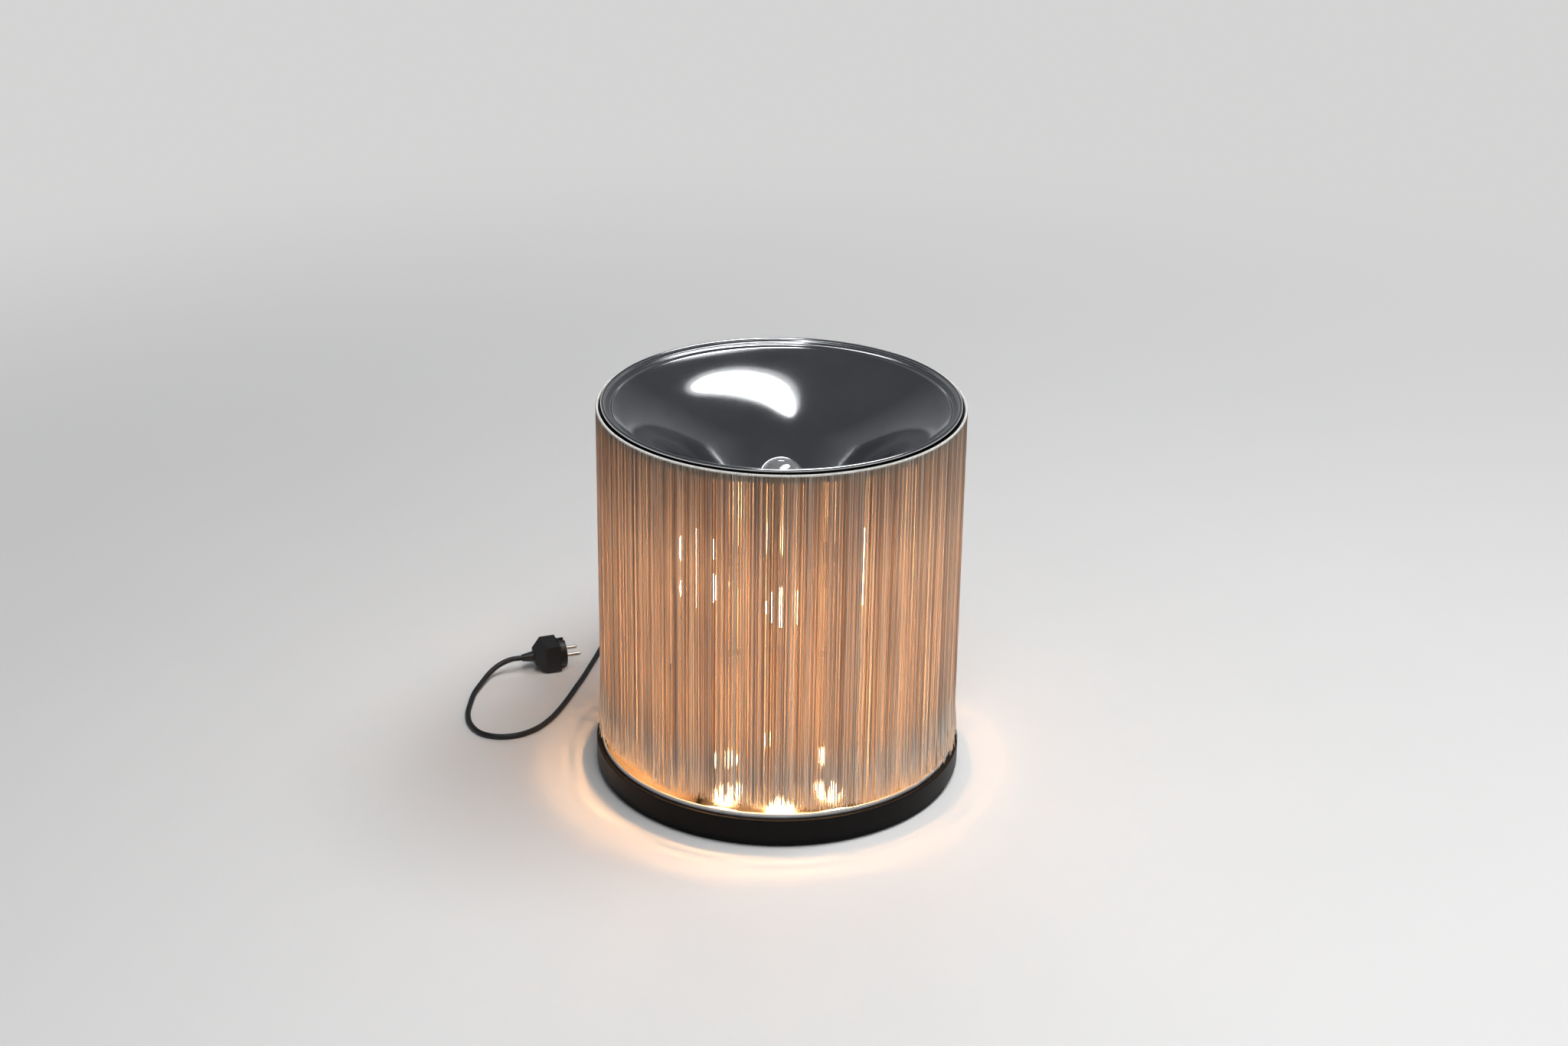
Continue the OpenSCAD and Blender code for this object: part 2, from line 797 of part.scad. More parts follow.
module ring_glass(k) {
    color([1, 0.9, 0.7])
        on_ring(k)
            bulb_glass(globe_r, globe_c, cap_r - cap_wall - thread_gap, cap_top - neck_seat,
                cap_top + cap_wall, globe_join);
}

module top_bulb_cap() {
    color([0.78, 0.74, 0.62])
        bulb_cap(top_cap_r, top_tip0, top_cap_top);
}

module top_bulb_glass() {
    color([0.85, 0.86, 0.88])
        bulb_glass(top_globe_r, top_globe_c, top_cap_r - cap_wall - thread_gap, top_cap_top - neck_seat,
            top_cap_top, top_join);
}

// Dish and fringe

module reflector_dish() {
    wall_foot = [bowl_floor_r + bowl_bend_r * sin(bowl_wall_angle),
        bowl_floor_z + bowl_bend_r * (1 - cos(bowl_wall_angle))];
    wall_head = wall_foot + wall_run * [1, tan(bowl_wall_angle)];
    flare_c = wall_head + flare_r * [sin(bowl_wall_angle), -cos(bowl_wall_angle)];
    path = concat(
        [[dish_hole_r, bowl_floor_z]],
        arc([bowl_floor_r, bowl_floor_z + bowl_bend_r], bowl_bend_r, -90, bowl_wall_angle - 90, 10),
        arc(flare_c, flare_r, 90 + bowl_wall_angle, 90 + bowl_edge_angle, 14),
        [[step_ir, bowl_edge_z + slope_fall], [ledge_ir, ledge_z - ledge_fall], [rim_side_r, ledge_z],
            [rim_side_r, rim_side_z]]
    );
    color([0.8, 0.81, 0.83])
        difference() {
            rotate_extrude()
                polygon(concat(
                    path,
                    arc([bead_at, rim_side_z], bead_r, bead_start, bead_foot - 180, 16),
                    [for (i = [len(path) - 2:-1:0]) moved(path, i, dish_t)]
                ));
            at_dish_screws()
                translate([0, 0, flange_top - 1])
                    cylinder(r = screw_r + slide_gap, h = dish_t + 2);
        }
}

module fringe_hoop() {
    color([0.07, 0.07, 0.07])
        rotate_extrude()
            polygon([
                [hoop_or - hoop_flange_w, hoop_top - hoop_t], [hoop_or - hoop_t, hoop_top - hoop_t],
                [hoop_or - hoop_t, hoop_top - hoop_h], [hoop_or, hoop_top - hoop_h],
                [hoop_or, hoop_top], [hoop_or - hoop_flange_w, hoop_top]
            ]);
}

// Corners of a strand's section at angle a, radius r and height z
function strand_ring(a, r, z, w, t) =
    [for (s = [[-1, -1], [1, -1], [1, 1], [-1, 1]])
        let (
            out = r + s.x * t / 2,
            along = s.y * w / 2
        )
        [out * cos(a) - along * sin(a), out * sin(a) + along * cos(a), z]];

// One panel: a slice of the heading with its strands, which end at uneven heights
module fringe_panel(k) {
    step = panel_angle / strand_n;
    hem = rands(pan_top + hem_low, pan_top + hem_high, strand_n, 11 * k);
    lean = rands(-hem_lean, hem_lean, strand_n, 17 * k);
    side = rands(-side_lean, side_lean, strand_n, 23 * k);
    strands = [for (i = [0:strand_n - 1])
        let (
            a = panel_angle * (k - 1) + step * (i + 0.5),
            turn = side[i] / strand_at * 180 / PI
        )
        each concat(
            strand_ring(a + turn, strand_at + lean[i], hem[i],
                strand_w * strand_tip_w, strand_t * strand_tip_t),
            strand_ring(a, strand_at, heading_under + strand_grip, strand_w, strand_t)
        )];
    color([0.82, 0.76, 0.68]) {
        rotate(panel_angle * (k - 1) + panel_gap_angle / 2)
            rotate_extrude(angle = panel_angle - panel_gap_angle)
                translate([heading_ir, heading_under])
                    square([heading_t, heading_h]);
        polyhedron(strands, [for (i = [0:strand_n - 1]) each tube_faces(2, 4, 8 * i)]);
    }
}

// Cord, switch and plug

// Point of the coil at turn angle a: in on the lower layer, up, and out on the upper one
function coil_point(a) =
    let (
        total = 360 * coil_turns,
        r = coil_r - coil_step * min(a, total - a) / 360,
        climb = min(1, max(0, (a - total / 2 + 90) / 180)),
        z = coil_z + coil_layer * (1 - cos(180 * climb)) / 2
    )
    [coil_c.x + r * cos(a), coil_c.y + r * sin(a), z];

coil_path = concat(
    [lead_pts[len(lead_pts) - 1]],
    [for (i = [0:coil_turns * coil_rings]) coil_point(360 * i / coil_rings)],
    [link_pts[0]]
);
coil_gap = min([for (i = [0:len(coil_path) - 1], j = [i + coil_rings / 2:len(coil_path) - 1])
    if (j < len(coil_path)) norm(coil_path[i] - coil_path[j])]) - cord_d;
echo(coil_gap = coil_gap);
cord_length = path_length(smooth(lead_pts, 2)) + path_length(coil_path)
    + path_length(smooth(link_pts, 2)) + path_length(smooth(tail_pts, 2));
echo(cord_length = cord_length);

module cord_gland() {
    flange_t = 2.5;
    color([0.05, 0.05, 0.05])
        translate([0, 0, gland_z])
            rotate([-90, 0, 0]) {
                rotate_extrude()
                    polygon([
                        [0, foot_ir - 6], [gland_r, foot_ir - 6], [gland_r, band_r + 0.1],
                        [gland_r + 2.5, band_r + 0.1], [gland_r + 2.5, band_r + flange_t],
                        [gland_r + 0.5, band_r + flange_t + 1], [cord_r + 1, gland_end], [0, gland_end]
                    ]);
                difference() {
                    translate([0, 0, foot_ir - 4.6])
                        cylinder(r = gland_r + 4, h = 4, $fn = 6);
                    translate([0, 0, foot_ir - 6])
                        cylinder(r = gland_r + fit_gap, h = 8);
                }
            }
}

module cord_lead() {
    color([0.05, 0.05, 0.05])
        tube(smooth(lead_pts, 2), cord_r, tube_sides);
}

module cord_coil() {
    color([0.05, 0.05, 0.05])
        tube(coil_path, cord_r, coil_sides);
}

module cord_link() {
    color([0.05, 0.05, 0.05])
        tube(smooth(link_pts, 2), cord_r, tube_sides);
}

module cord_tail() {
    color([0.05, 0.05, 0.05])
        tube(smooth(tail_pts, 2), cord_r, tube_sides);
}

module coil_tie() {
    outer = coil_r - coil_step * tie_angle / 360 + cord_r + tie_gap;
    inner = outer - coil_step - cord_d - 2 * tie_gap;
    top = coil_z + coil_layer + cord_r + tie_gap;
    color([0.12, 0.12, 0.12])
        translate([coil_c.x, coil_c.y, 0])
            rotate(tie_angle)
                rotate([90, 0, 0])
                    translate([0, 0, -tie_w / 2])
                        linear_extrude(tie_w)
                            difference() {
                                translate([inner - tie_t, 0])
                                    square([outer - inner + 2 * tie_t, top + tie_t]);
                                translate([inner, tie_t])
                                    square([outer - inner, top - tie_t]);
                            }
}

// The switch's housing between two heights, tapered towards the cord
module switch_shape(z0, z1) {
    end_w = cord_d + 5;
    x = switch_l / 2;
    y = switch_w / 2;
    intersection() {
        translate([0, 0, z0])
            linear_extrude(z1 - z0)
                polygon([
                    [-x, -end_w / 2], [-x + 9, -y + 1], [-x + 12, -y],
                    [x - 12, -y], [x - 9, -y + 1], [x, -end_w / 2],
                    [x, end_w / 2], [x - 9, y - 1], [x - 12, y],
                    [-x + 12, y], [-x + 9, y - 1], [-x, end_w / 2]
                ]);
        translate([0, y, 0])
            rotate([90, 0, 0])
                linear_extrude(switch_w)
                    polygon([
                        [-x + 1, 0], [x - 1, 0], [x, switch_mid - 5.5], [x, switch_mid + 5.5],
                        [x - 7, switch_h], [-x + 7, switch_h],
                        [-x, switch_mid + 5.5], [-x, switch_mid - 5.5]
                    ]);
    }
}

slot_l = 23;
slot_w = 11;
pivot_z = switch_h - 3.5;
pivot_r = 1.25;
switch_screw_x = 19;

module switch_base() {
    color([0.06, 0.06, 0.06])
        translate([switch_c.x, switch_c.y, 0])
            difference() {
                switch_shape(0, switch_mid - 0.1);
                translate([-slot_l / 2, -slot_w / 2, 3])
                    cube([slot_l, slot_w, switch_h]);
                for (x = [-switch_screw_x, switch_screw_x])
                    translate([x, 0, -1]) {
                        cylinder(r = 1.2 + slide_gap, h = switch_h);
                        cylinder(r = 2.4 + slide_gap, h = 3.2);
                    }
            }
}

module switch_cover() {
    color([0.06, 0.06, 0.06])
        translate([switch_c.x, switch_c.y, 0])
            difference() {
                switch_shape(switch_mid, switch_h);
                translate([-slot_l / 2, -slot_w / 2, 0])
                    cube([slot_l, slot_w, switch_h + 1]);
                translate([0, slot_w / 2 + 2.2, pivot_z])
                    rotate([90, 0, 0])
                        cylinder(r = pivot_r + fit_gap, h = slot_w + 4.4);
                for (x = [-switch_screw_x, switch_screw_x])
                    translate([x, 0, 0])
                        cylinder(r = 1.2 + fit_gap, h = switch_mid + 5);
            }
}

module switch_screws() {
    color([0.7, 0.7, 0.7])
        for (x = [-switch_screw_x, switch_screw_x])
            translate([switch_c.x + x, switch_c.y, 0.6]) {
                cylinder(r = 2.4, h = 1.6);
                cylinder(r = 1.2, h = switch_mid + 3.5);
            }
}

module switch_rocker() {
    half = slot_l / 2 - 0.7;
    wide = slot_w - 0.8;
    color([0.12, 0.12, 0.12])
        translate([switch_c.x, switch_c.y, pivot_z])
            rotate([0, -rocker_turn / 2, 0]) {
                translate([0, wide / 2, 0])
                    rotate([90, 0, 0])
                        linear_extrude(wide)
                            polygon([
                                [-half, 1.5], [-half, 4.6], [0, 3.4], [half, 4.6], [half, 1.5],
                                [4, -4], [-4, -4]
                            ]);
                translate([0, slot_w / 2 + 2, 0])
                    rotate([90, 0, 0])
                        cylinder(r = pivot_r, h = slot_w + 4);
            }
}

module at_plug() {
    translate(plug_at)
        rotate(atan2(plug_dir.y, plug_dir.x))
            children();
}

module plug_body() {
    neck = 16;
    side = plug_r - 1;
    plan = [
        [neck - 2, -8], [neck + 11, -side], [plug_l, -side],
        [plug_l, side], [neck + 11, side], [neck - 2, 8]
    ];
    color([0.05, 0.05, 0.05])
        at_plug() {
            rotate([0, 90, 0])
                rotate_extrude()
                    polygon([[0, 0], [cord_r + 1, 0], [7, neck], [0, neck]]);
            intersection() {
                translate([0, 0, -side])
                    linear_extrude(2 * side)
                        polygon(plan);
                translate([0, side, 0])
                    rotate([90, 0, 0])
                        linear_extrude(2 * side)
                            polygon(plan * 0.97 + [for (p = plan) [0.03 * plug_l, 0]]);
            }
            difference() {
                translate([plug_l, 0, 0])
                    rotate([0, 90, 0])
                        cylinder(r = plug_r, h = plug_disc_t);
                for (s = [-1, 1]) {
                    translate([plug_l + 2, -3, s > 0 ? plug_r - 2.5 : -plug_r - 1])
                        cube([plug_disc_t, 6, 3.5]);
                    translate([plug_l + plug_disc_t - pin_l / 2, s * pin_gap / 2, 0])
                        rotate([0, 90, 0])
                            cylinder(r = pin_r + fit_gap, h = pin_l);
                }
            }
        }
}

module plug_pins() {
    color([0.8, 0.78, 0.7])
        at_plug()
            for (s = [-1, 1])
                translate([plug_l + plug_disc_t - 6, s * pin_gap / 2, 0])
                    rotate([0, 90, 0])
                        rotate_extrude()
                            polygon([
                                [0, 0], [pin_r, 0], [pin_r, pin_l + 4.5], [pin_r - 1.5, pin_l + 6],
                                [0, pin_l + 6]
                            ]);
}

felt_ring();
foot_ring();
bottom_plate();
bottom_screws();
base_pan();
lower_reflector();
terminal_block();
inner_wiring();
stem_tube();
stem_nuts();
spacer_tubes();
hub();
arm_nipples();
screw_shells();
contact_springs();
top_lampholder();
dish_carrier();
dish_screws();
reflector_dish();
fringe_hoop();
for (k = [1:ring_n]) {
    lampholder(k);
    ring_cap(k);
    ring_glass(k);
}
top_bulb_cap();
top_bulb_glass();
for (k = [1:panel_n]) {
    fringe_panel(k);
}
cord_gland();
cord_lead();
cord_coil();
coil_tie();
cord_link();
cord_tail();
switch_base();
switch_cover();
switch_screws();
switch_rocker();
plug_body();
plug_pins();
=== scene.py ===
import math

import bmesh
import bpy
from mathutils import Matrix, Vector


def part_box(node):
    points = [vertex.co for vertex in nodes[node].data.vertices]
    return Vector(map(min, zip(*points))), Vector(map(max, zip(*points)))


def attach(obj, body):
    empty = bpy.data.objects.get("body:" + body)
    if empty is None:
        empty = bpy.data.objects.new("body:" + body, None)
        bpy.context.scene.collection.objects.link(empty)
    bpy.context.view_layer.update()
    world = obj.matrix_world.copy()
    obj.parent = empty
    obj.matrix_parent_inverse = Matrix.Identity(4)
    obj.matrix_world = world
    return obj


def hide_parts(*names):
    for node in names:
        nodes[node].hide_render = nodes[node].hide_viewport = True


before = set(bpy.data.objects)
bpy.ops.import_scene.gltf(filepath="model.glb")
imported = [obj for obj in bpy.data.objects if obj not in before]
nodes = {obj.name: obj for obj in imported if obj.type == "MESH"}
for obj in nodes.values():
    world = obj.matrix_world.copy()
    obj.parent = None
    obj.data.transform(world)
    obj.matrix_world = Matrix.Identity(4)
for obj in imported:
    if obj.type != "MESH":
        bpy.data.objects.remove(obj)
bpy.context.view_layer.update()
scene = bpy.context.scene
scene.view_settings.view_transform = "Standard"
mm = 0.001
print("frame loaded:", len(nodes), "nodes")


# Camera

cameraSpec = {
    "lens": 61.12,
    "sensor": 36.0,
    "eye": (-0.0003, -2.7385, 1.5258),
    "pitch": 24.13,  # degrees below the horizon
    "yaw": 0.10,
    "roll": 0.81,
}


def makeCamera(spec):
    pitch, yaw, roll = (math.radians(spec[k]) for k in ("pitch", "yaw", "roll"))
    ahead = Vector((math.sin(yaw) * math.cos(pitch), math.cos(yaw) * math.cos(pitch), -math.sin(pitch)))
    level = Vector((math.cos(yaw), -math.sin(yaw), 0))
    lift = level.cross(ahead)
    right = level * math.cos(roll) + lift * math.sin(roll)
    up = lift * math.cos(roll) - level * math.sin(roll)
    data = bpy.data.cameras.new("photoCamera")
    data.lens = spec["lens"]
    data.sensor_width = spec["sensor"]
    data.sensor_fit = "HORIZONTAL"
    camera = bpy.data.objects.new("photoCamera", data)
    turn = Matrix((right, up, -ahead)).transposed().to_4x4()
    camera.matrix_world = Matrix.Translation(spec["eye"]) @ turn
    scene.collection.objects.link(camera)
    scene.camera = camera


makeCamera(cameraSpec)


# Node helpers

def put(tree, kind, inputs=None, **settings):
    node = tree.nodes.new(kind)
    for key, value in settings.items():
        setattr(node, key, value)
    for key, value in (inputs or {}).items():
        if isinstance(value, bpy.types.NodeSocket):
            tree.links.new(value, node.inputs[key])
        else:
            node.inputs[key].default_value = value
    return node


def calc(tree, operation, a, b=0.0, c=0.0):
    return put(tree, "ShaderNodeMath", {0: a, 1: b, 2: c}, operation=operation).outputs[0]


def vectorCalc(tree, operation, a, b=(0, 0, 0)):
    return put(tree, "ShaderNodeVectorMath", {0: a, 1: b}, operation=operation).outputs[0]


def scaled(tree, vector, factor):
    return put(tree, "ShaderNodeVectorMath", {0: vector, "Scale": factor}, operation="SCALE").outputs[0]


def flattened(tree, vector):
    return vectorCalc(tree, "MULTIPLY", vector, (1, 1, 0))


def apart(tree, vector):
    return put(tree, "ShaderNodeSeparateXYZ", {"Vector": vector}).outputs


def together(tree, x, y, z):
    return put(tree, "ShaderNodeCombineXYZ", {"X": x, "Y": y, "Z": z}).outputs[0]


def between(tree, value, start, end, low=0.0, high=1.0, curve="LINEAR"):
    inputs = {"Value": value, "From Min": start, "From Max": end, "To Min": low, "To Max": high}
    return put(tree, "ShaderNodeMapRange", inputs, interpolation_type=curve).outputs["Result"]


def level(tree, factor, ends):
    return between(tree, factor, 0.0, 1.0, *ends)


def noise(tree, place, scale, detail=3.0, rough=0.55):
    inputs = {"Vector": place, "Scale": scale, "Detail": detail, "Roughness": rough}
    return put(tree, "ShaderNodeTexNoise", inputs).outputs[0]


def mixValue(tree, factor, first, second):
    return put(tree, "ShaderNodeMix", {0: factor, 2: first, 3: second}, data_type="FLOAT").outputs[0]


def mixColour(tree, factor, first, second):
    return put(tree, "ShaderNodeMix", {0: factor, 6: first, 7: second}, data_type="RGBA").outputs[2]


def mixSurface(tree, factor, first, second):
    mixed = put(tree, "ShaderNodeMixShader", {0: factor, 1: first.outputs[0], 2: second.outputs[0]})
    tree.links.new(mixed.outputs[0], tree.nodes["Material Output"].inputs["Surface"])


def ramp(tree, factor, stops):
    made = put(tree, "ShaderNodeValToRGB", {"Fac": factor})
    band = made.color_ramp
    while len(band.elements) < len(stops):
        band.elements.new(0.5)
    for element, (position, colour) in zip(band.elements, stops):
        element.position = position
        element.color = colour if len(colour) == 4 else (*colour, 1)
    return made.outputs["Color"]


def shades(tree, factor, dark, light, start=0.3, end=0.7):
    return ramp(tree, factor, [(start, dark), (end, light)])


def grey(v):
    return (v, v, v, 1)


def times(colour, factor):
    return tuple(factor * c for c in colour)


def bump(tree, height, strength, distance):
    made = put(tree, "ShaderNodeBump", {"Height": height, "Strength": strength, "Distance": distance})
    return made.outputs["Normal"]


def stretch(tree, place, scale):
    return put(tree, "ShaderNodeMapping", {"Vector": place, "Scale": scale}).outputs["Vector"]


def fromAxis(tree, place):
    flat = flattened(tree, place)
    return put(tree, "ShaderNodeVectorMath", {0: flat}, operation="LENGTH").outputs["Value"]


def sheetPlace(tree):
    return apart(tree, put(tree, "ShaderNodeUVMap", uv_map="UVMap").outputs["UV"])


def newMaterial(name):
    material = bpy.data.materials.new(name)
    material.use_nodes = True
    tree = material.node_tree
    place = put(tree, "ShaderNodeTexCoord").outputs["Object"]
    return material, tree, tree.nodes["Principled BSDF"], place


def feed(tree, surface, **sockets):
    for key, value in sockets.items():
        name = {"colour": "Base Color", "rough": "Roughness", "normal": "Normal"}[key]
        tree.links.new(value, surface.inputs[name])


def fix(surface, values):
    for key, value in values.items():
        surface.inputs[key].default_value = value


# Finishes

lacquerFinish = {
    "dark": (0.0032, 0.003, 0.0031),
    "light": (0.0055, 0.0052, 0.0053),
    "speck": (0.06, 0.058, 0.056, 1),
    "cover": 0.35,  # how far a speck of dust hides the lacquer
    "rough": (0.3, 0.5),
    "specular": 0.09,
}


def blackLacquer(spec):
    material, tree, surface, place = newMaterial("blackLacquer")
    cloud = noise(tree, place, scale=14, detail=4)
    peel = noise(tree, place, scale=700, detail=2)
    dust = noise(tree, place, scale=520, detail=1)
    base = shades(tree, cloud, spec["dark"], spec["light"])
    specks = shades(tree, dust, grey(0), grey(spec["cover"]), start=0.74, end=0.8)
    feed(tree, surface, colour=mixColour(tree, specks, base, spec["speck"]),
         rough=level(tree, cloud, spec["rough"]), normal=bump(tree, peel, strength=0.06, distance=0.0004))
    fix(surface, {"Specular IOR Level": spec["specular"]})
    return material


def edgeRun(tree, run, start, end):
    return between(tree, run, start * mm, end * mm, curve="SMOOTHSTEP")


def turnedMetal(name, spec, zones):
    material, tree, surface, place = newMaterial(name)
    radius = calc(tree, "MULTIPLY", fromAxis(tree, place), spec["rings"])
    lines = put(tree, "ShaderNodeTexNoise", {"W": radius, "Scale": 1.0, "Detail": 2.0, "Roughness": 0.6},
                noise_dimensions="1D").outputs[0]
    smudge = noise(tree, place, scale=16, detail=5, rough=0.6)
    tint = shades(tree, smudge, times(spec["metal"], 0.88), spec["metal"], end=0.65)
    polish = level(tree, smudge, spec["polish"])
    # a zone is a run along the outline of the sheet with a finish of its own
    run = sheetPlace(tree)["Y"]
    for zone in zones:
        soft = zone["soft"]
        begun = edgeRun(tree, run, zone["from"] - soft, zone["from"] + soft)
        inside = calc(tree, "MULTIPLY", begun, edgeRun(tree, run, zone["to"] + soft, zone["to"] - soft))
        polish = mixValue(tree, inside, polish, zone["rough"])
        if "metal" in zone:
            tint = mixColour(tree, inside, tint, (*zone["metal"], 1))
    feed(tree, surface, colour=tint, rough=polish,
         normal=bump(tree, lines, strength=spec["ringDepth"], distance=0.0002))
    fix(surface, {"Metallic": 1.0})
    return material


def platedMetal(name, colour, rough):
    material, tree, surface, place = newMaterial(name)
    smudge = noise(tree, place, scale=30, detail=4)
    fine = noise(tree, stretch(tree, place, (1, 1, 0.15)), scale=240, detail=3)
    feed(tree, surface, colour=shades(tree, smudge, times(colour, 0.8), colour),
         rough=level(tree, smudge, rough), normal=bump(tree, fine, strength=0.08, distance=0.0003))
    fix(surface, {"Metallic": 1.0})
    return material


def moulded(name, colour, rough, grain=900, depth=0.12):
    material, tree, surface, place = newMaterial(name)
    cloud = noise(tree, place, scale=45, detail=3)
    pits = noise(tree, place, scale=grain, detail=2)
    feed(tree, surface, colour=shades(tree, cloud, colour, times(colour, 1.35), end=0.75),
         rough=level(tree, cloud, rough), normal=bump(tree, pits, strength=depth, distance=0.0004))
    return material


feltFinish = {"dark": (0.008, 0.008, 0.008), "light": (0.03, 0.03, 0.03)}


def feltPile(spec):
    material, tree, surface, place = newMaterial("feltPile")
    fibres = noise(tree, place, scale=1400, detail=5, rough=0.7)
    feed(tree, surface, colour=shades(tree, fibres, spec["dark"], spec["light"]),
         normal=bump(tree, fibres, strength=0.6, distance=0.001))
    fix(surface, {"Roughness": 0.95, "Sheen Weight": 0.3})
    return material


stringFinish = {
    "shade": (0.33, 0.30, 0.265),
    "light": (0.86, 0.83, 0.78),
    "throughDark": (0.70, 0.56, 0.41),  # colour of the light that passes through a string
    "throughLight": (1.0, 0.95, 0.86),
    "soil": 0.5,  # weight of the marks along a string in its shade
    "tones": 0.7,  # weight of the differences from string to string
    "heading": (0.33, 0.43),  # heights between which the strings are painted darker towards the tape, a painted shade at the top of the fringe
    # painted shade: how much darker the strings are coloured at the top
    "paintedTopShade": 0.24,
    "passing": 0.72,  # share of light that a string lets through
    "frayed": 0.40,  # the same at the frayed ends
    "ends": (0.050, 0.125),  # heights between which the strings fray
    "twist": 1900.0,
}


def ownTone(tree):
    return put(tree, "ShaderNodeAttribute", attribute_name="stringTone").outputs["Fac"]


def stringYarn(spec):
    material, tree, surface, place = newMaterial("stringYarn")
    soil = noise(tree, stretch(tree, place, (200, 200, 5)), scale=1, detail=3)
    parts = apart(tree, place)
    # painted shade: the strings' colour and the light they let through darken towards the top
    paintedTopShade = between(tree, parts["Z"], *spec["heading"], 0.0, -spec["paintedTopShade"])
    tone = calc(tree, "MULTIPLY_ADD", ownTone(tree), spec["tones"], paintedTopShade)
    mixed = calc(tree, "MULTIPLY_ADD", soil, spec["soil"], tone)
    slant = calc(tree, "ADD", calc(tree, "ADD", parts["X"], parts["Y"]), parts["Z"])
    ply = calc(tree, "SINE", calc(tree, "MULTIPLY", slant, spec["twist"]))
    feed(tree, surface, colour=shades(tree, mixed, spec["shade"], spec["light"], start=0.2, end=0.8),
         normal=bump(tree, ply, strength=0.15, distance=0.0002))
    fix(surface, {"Roughness": 0.5, "Sheen Weight": 0.25, "Specular IOR Level": 0.45})
    glow = shades(tree, mixed, spec["throughDark"], spec["throughLight"], start=0.25, end=0.75)
    through = put(tree, "ShaderNodeBsdfTranslucent", {"Color": glow})
    passing = between(tree, parts["Z"], *spec["ends"], spec["frayed"], spec["passing"])
    mixSurface(tree, passing, surface, through)
    return material


edgeFinish = {"dark": (0.60, 0.585, 0.555), "light": (0.84, 0.83, 0.805), "fuzz": 0.3, "tones": 0.7}


def edgeYarn(spec):
    material, tree, surface, place = newMaterial("edgeYarn")
    fuzz = noise(tree, place, scale=1500, detail=3)
    tone = calc(tree, "MULTIPLY", ownTone(tree), spec["tones"])
    mixed = calc(tree, "MULTIPLY_ADD", fuzz, spec["fuzz"], tone)
    feed(tree, surface, colour=shades(tree, mixed, spec["dark"], spec["light"], end=0.85),
         normal=bump(tree, fuzz, strength=0.3, distance=0.0003))
    fix(surface, {"Roughness": 0.6, "Sheen Weight": 0.2})
    return material


tapeFinish = {
    "dark": (0.50, 0.47, 0.43),
    "light": (0.68, 0.655, 0.61),
    "warp": 2600.0,  # radians of weave in a metre of tape
    "weft": 4200.0,
}


def wovenTape(spec):
    material, tree, surface, place = newMaterial("wovenTape")
    weave = sheetPlace(tree)
    warp = calc(tree, "SINE", calc(tree, "MULTIPLY", weave["X"], spec["warp"]))
    weft = calc(tree, "SINE", calc(tree, "MULTIPLY", weave["Y"], spec["weft"]))
    cloth = calc(tree, "MULTIPLY", warp, weft)
    soil = noise(tree, place, scale=40, detail=4)
    feed(tree, surface, colour=shades(tree, soil, spec["dark"], spec["light"]),
         normal=bump(tree, cloth, strength=0.5, distance=0.0006))
    fix(surface, {"Roughness": 0.7, "Sheen Weight": 0.2})
    return material


glowFinish = {"glass": (1.0, 0.88, 0.68), "light": (1.0, 0.53, 0.23, 1), "strength": 104.0}


def litGlass(spec):
    material, tree, surface, place = newMaterial("litGlass")
    frost = noise(tree, place, scale=600, detail=2)
    feed(tree, surface, colour=shades(tree, frost, times(spec["glass"], 0.92), spec["glass"]),
         normal=bump(tree, frost, strength=0.05, distance=0.0002))
    fix(surface, {"Roughness": 0.35, "Emission Color": spec["light"],
                  "Emission Strength": spec["strength"]})
    return material


silverFinish = {"dark": (0.74, 0.75, 0.76), "light": (0.86, 0.865, 0.875), "rough": (0.015, 0.05)}


def silveredGlass(spec):
    material, tree, surface, place = newMaterial("silveredGlass")
    cloud = noise(tree, place, scale=35, detail=4)
    feed(tree, surface, colour=shades(tree, cloud, spec["dark"], spec["light"]),
         rough=level(tree, cloud, spec["rough"]))
    fix(surface, {"Metallic": 0.8})
    return material


finish = {
    "lacquer": blackLacquer(lacquerFinish),
    "steel": platedMetal("zincSteel", (0.50, 0.50, 0.49), (0.28, 0.45)),
    "nickel": platedMetal("nickelPlate", (0.68, 0.665, 0.63), (0.16, 0.3)),
    "brass": platedMetal("brightBrass", (0.72, 0.52, 0.22), (0.2, 0.36)),
    "cap": platedMetal("rolledCap", (0.70, 0.67, 0.60), (0.25, 0.4)),
    "bakelite": moulded("darkBakelite", (0.018, 0.012, 0.009), (0.28, 0.42), 500, 0.08),
    "plastic": moulded("blackPlastic", (0.0085, 0.0085, 0.009), (0.36, 0.5)),
    "gloss": moulded("glossPlastic", (0.011, 0.011, 0.012), (0.16, 0.26), 300, 0.04),
    "rubber": moulded("blackRubber", (0.007, 0.007, 0.0075), (0.42, 0.58), 1600, 0.2),
    "ceramic": moulded("paleBlock", (0.55, 0.53, 0.48), (0.4, 0.5)),
    "felt": feltPile(feltFinish),
    "string": stringYarn(stringFinish),
    "edge": edgeYarn(edgeFinish),
    "tape": wovenTape(tapeFinish),
    "glow": litGlass(glowFinish),
    "silvered": silveredGlass(silverFinish),
}
print("finishes made:", len(finish))


# Mains lead, in millimetres

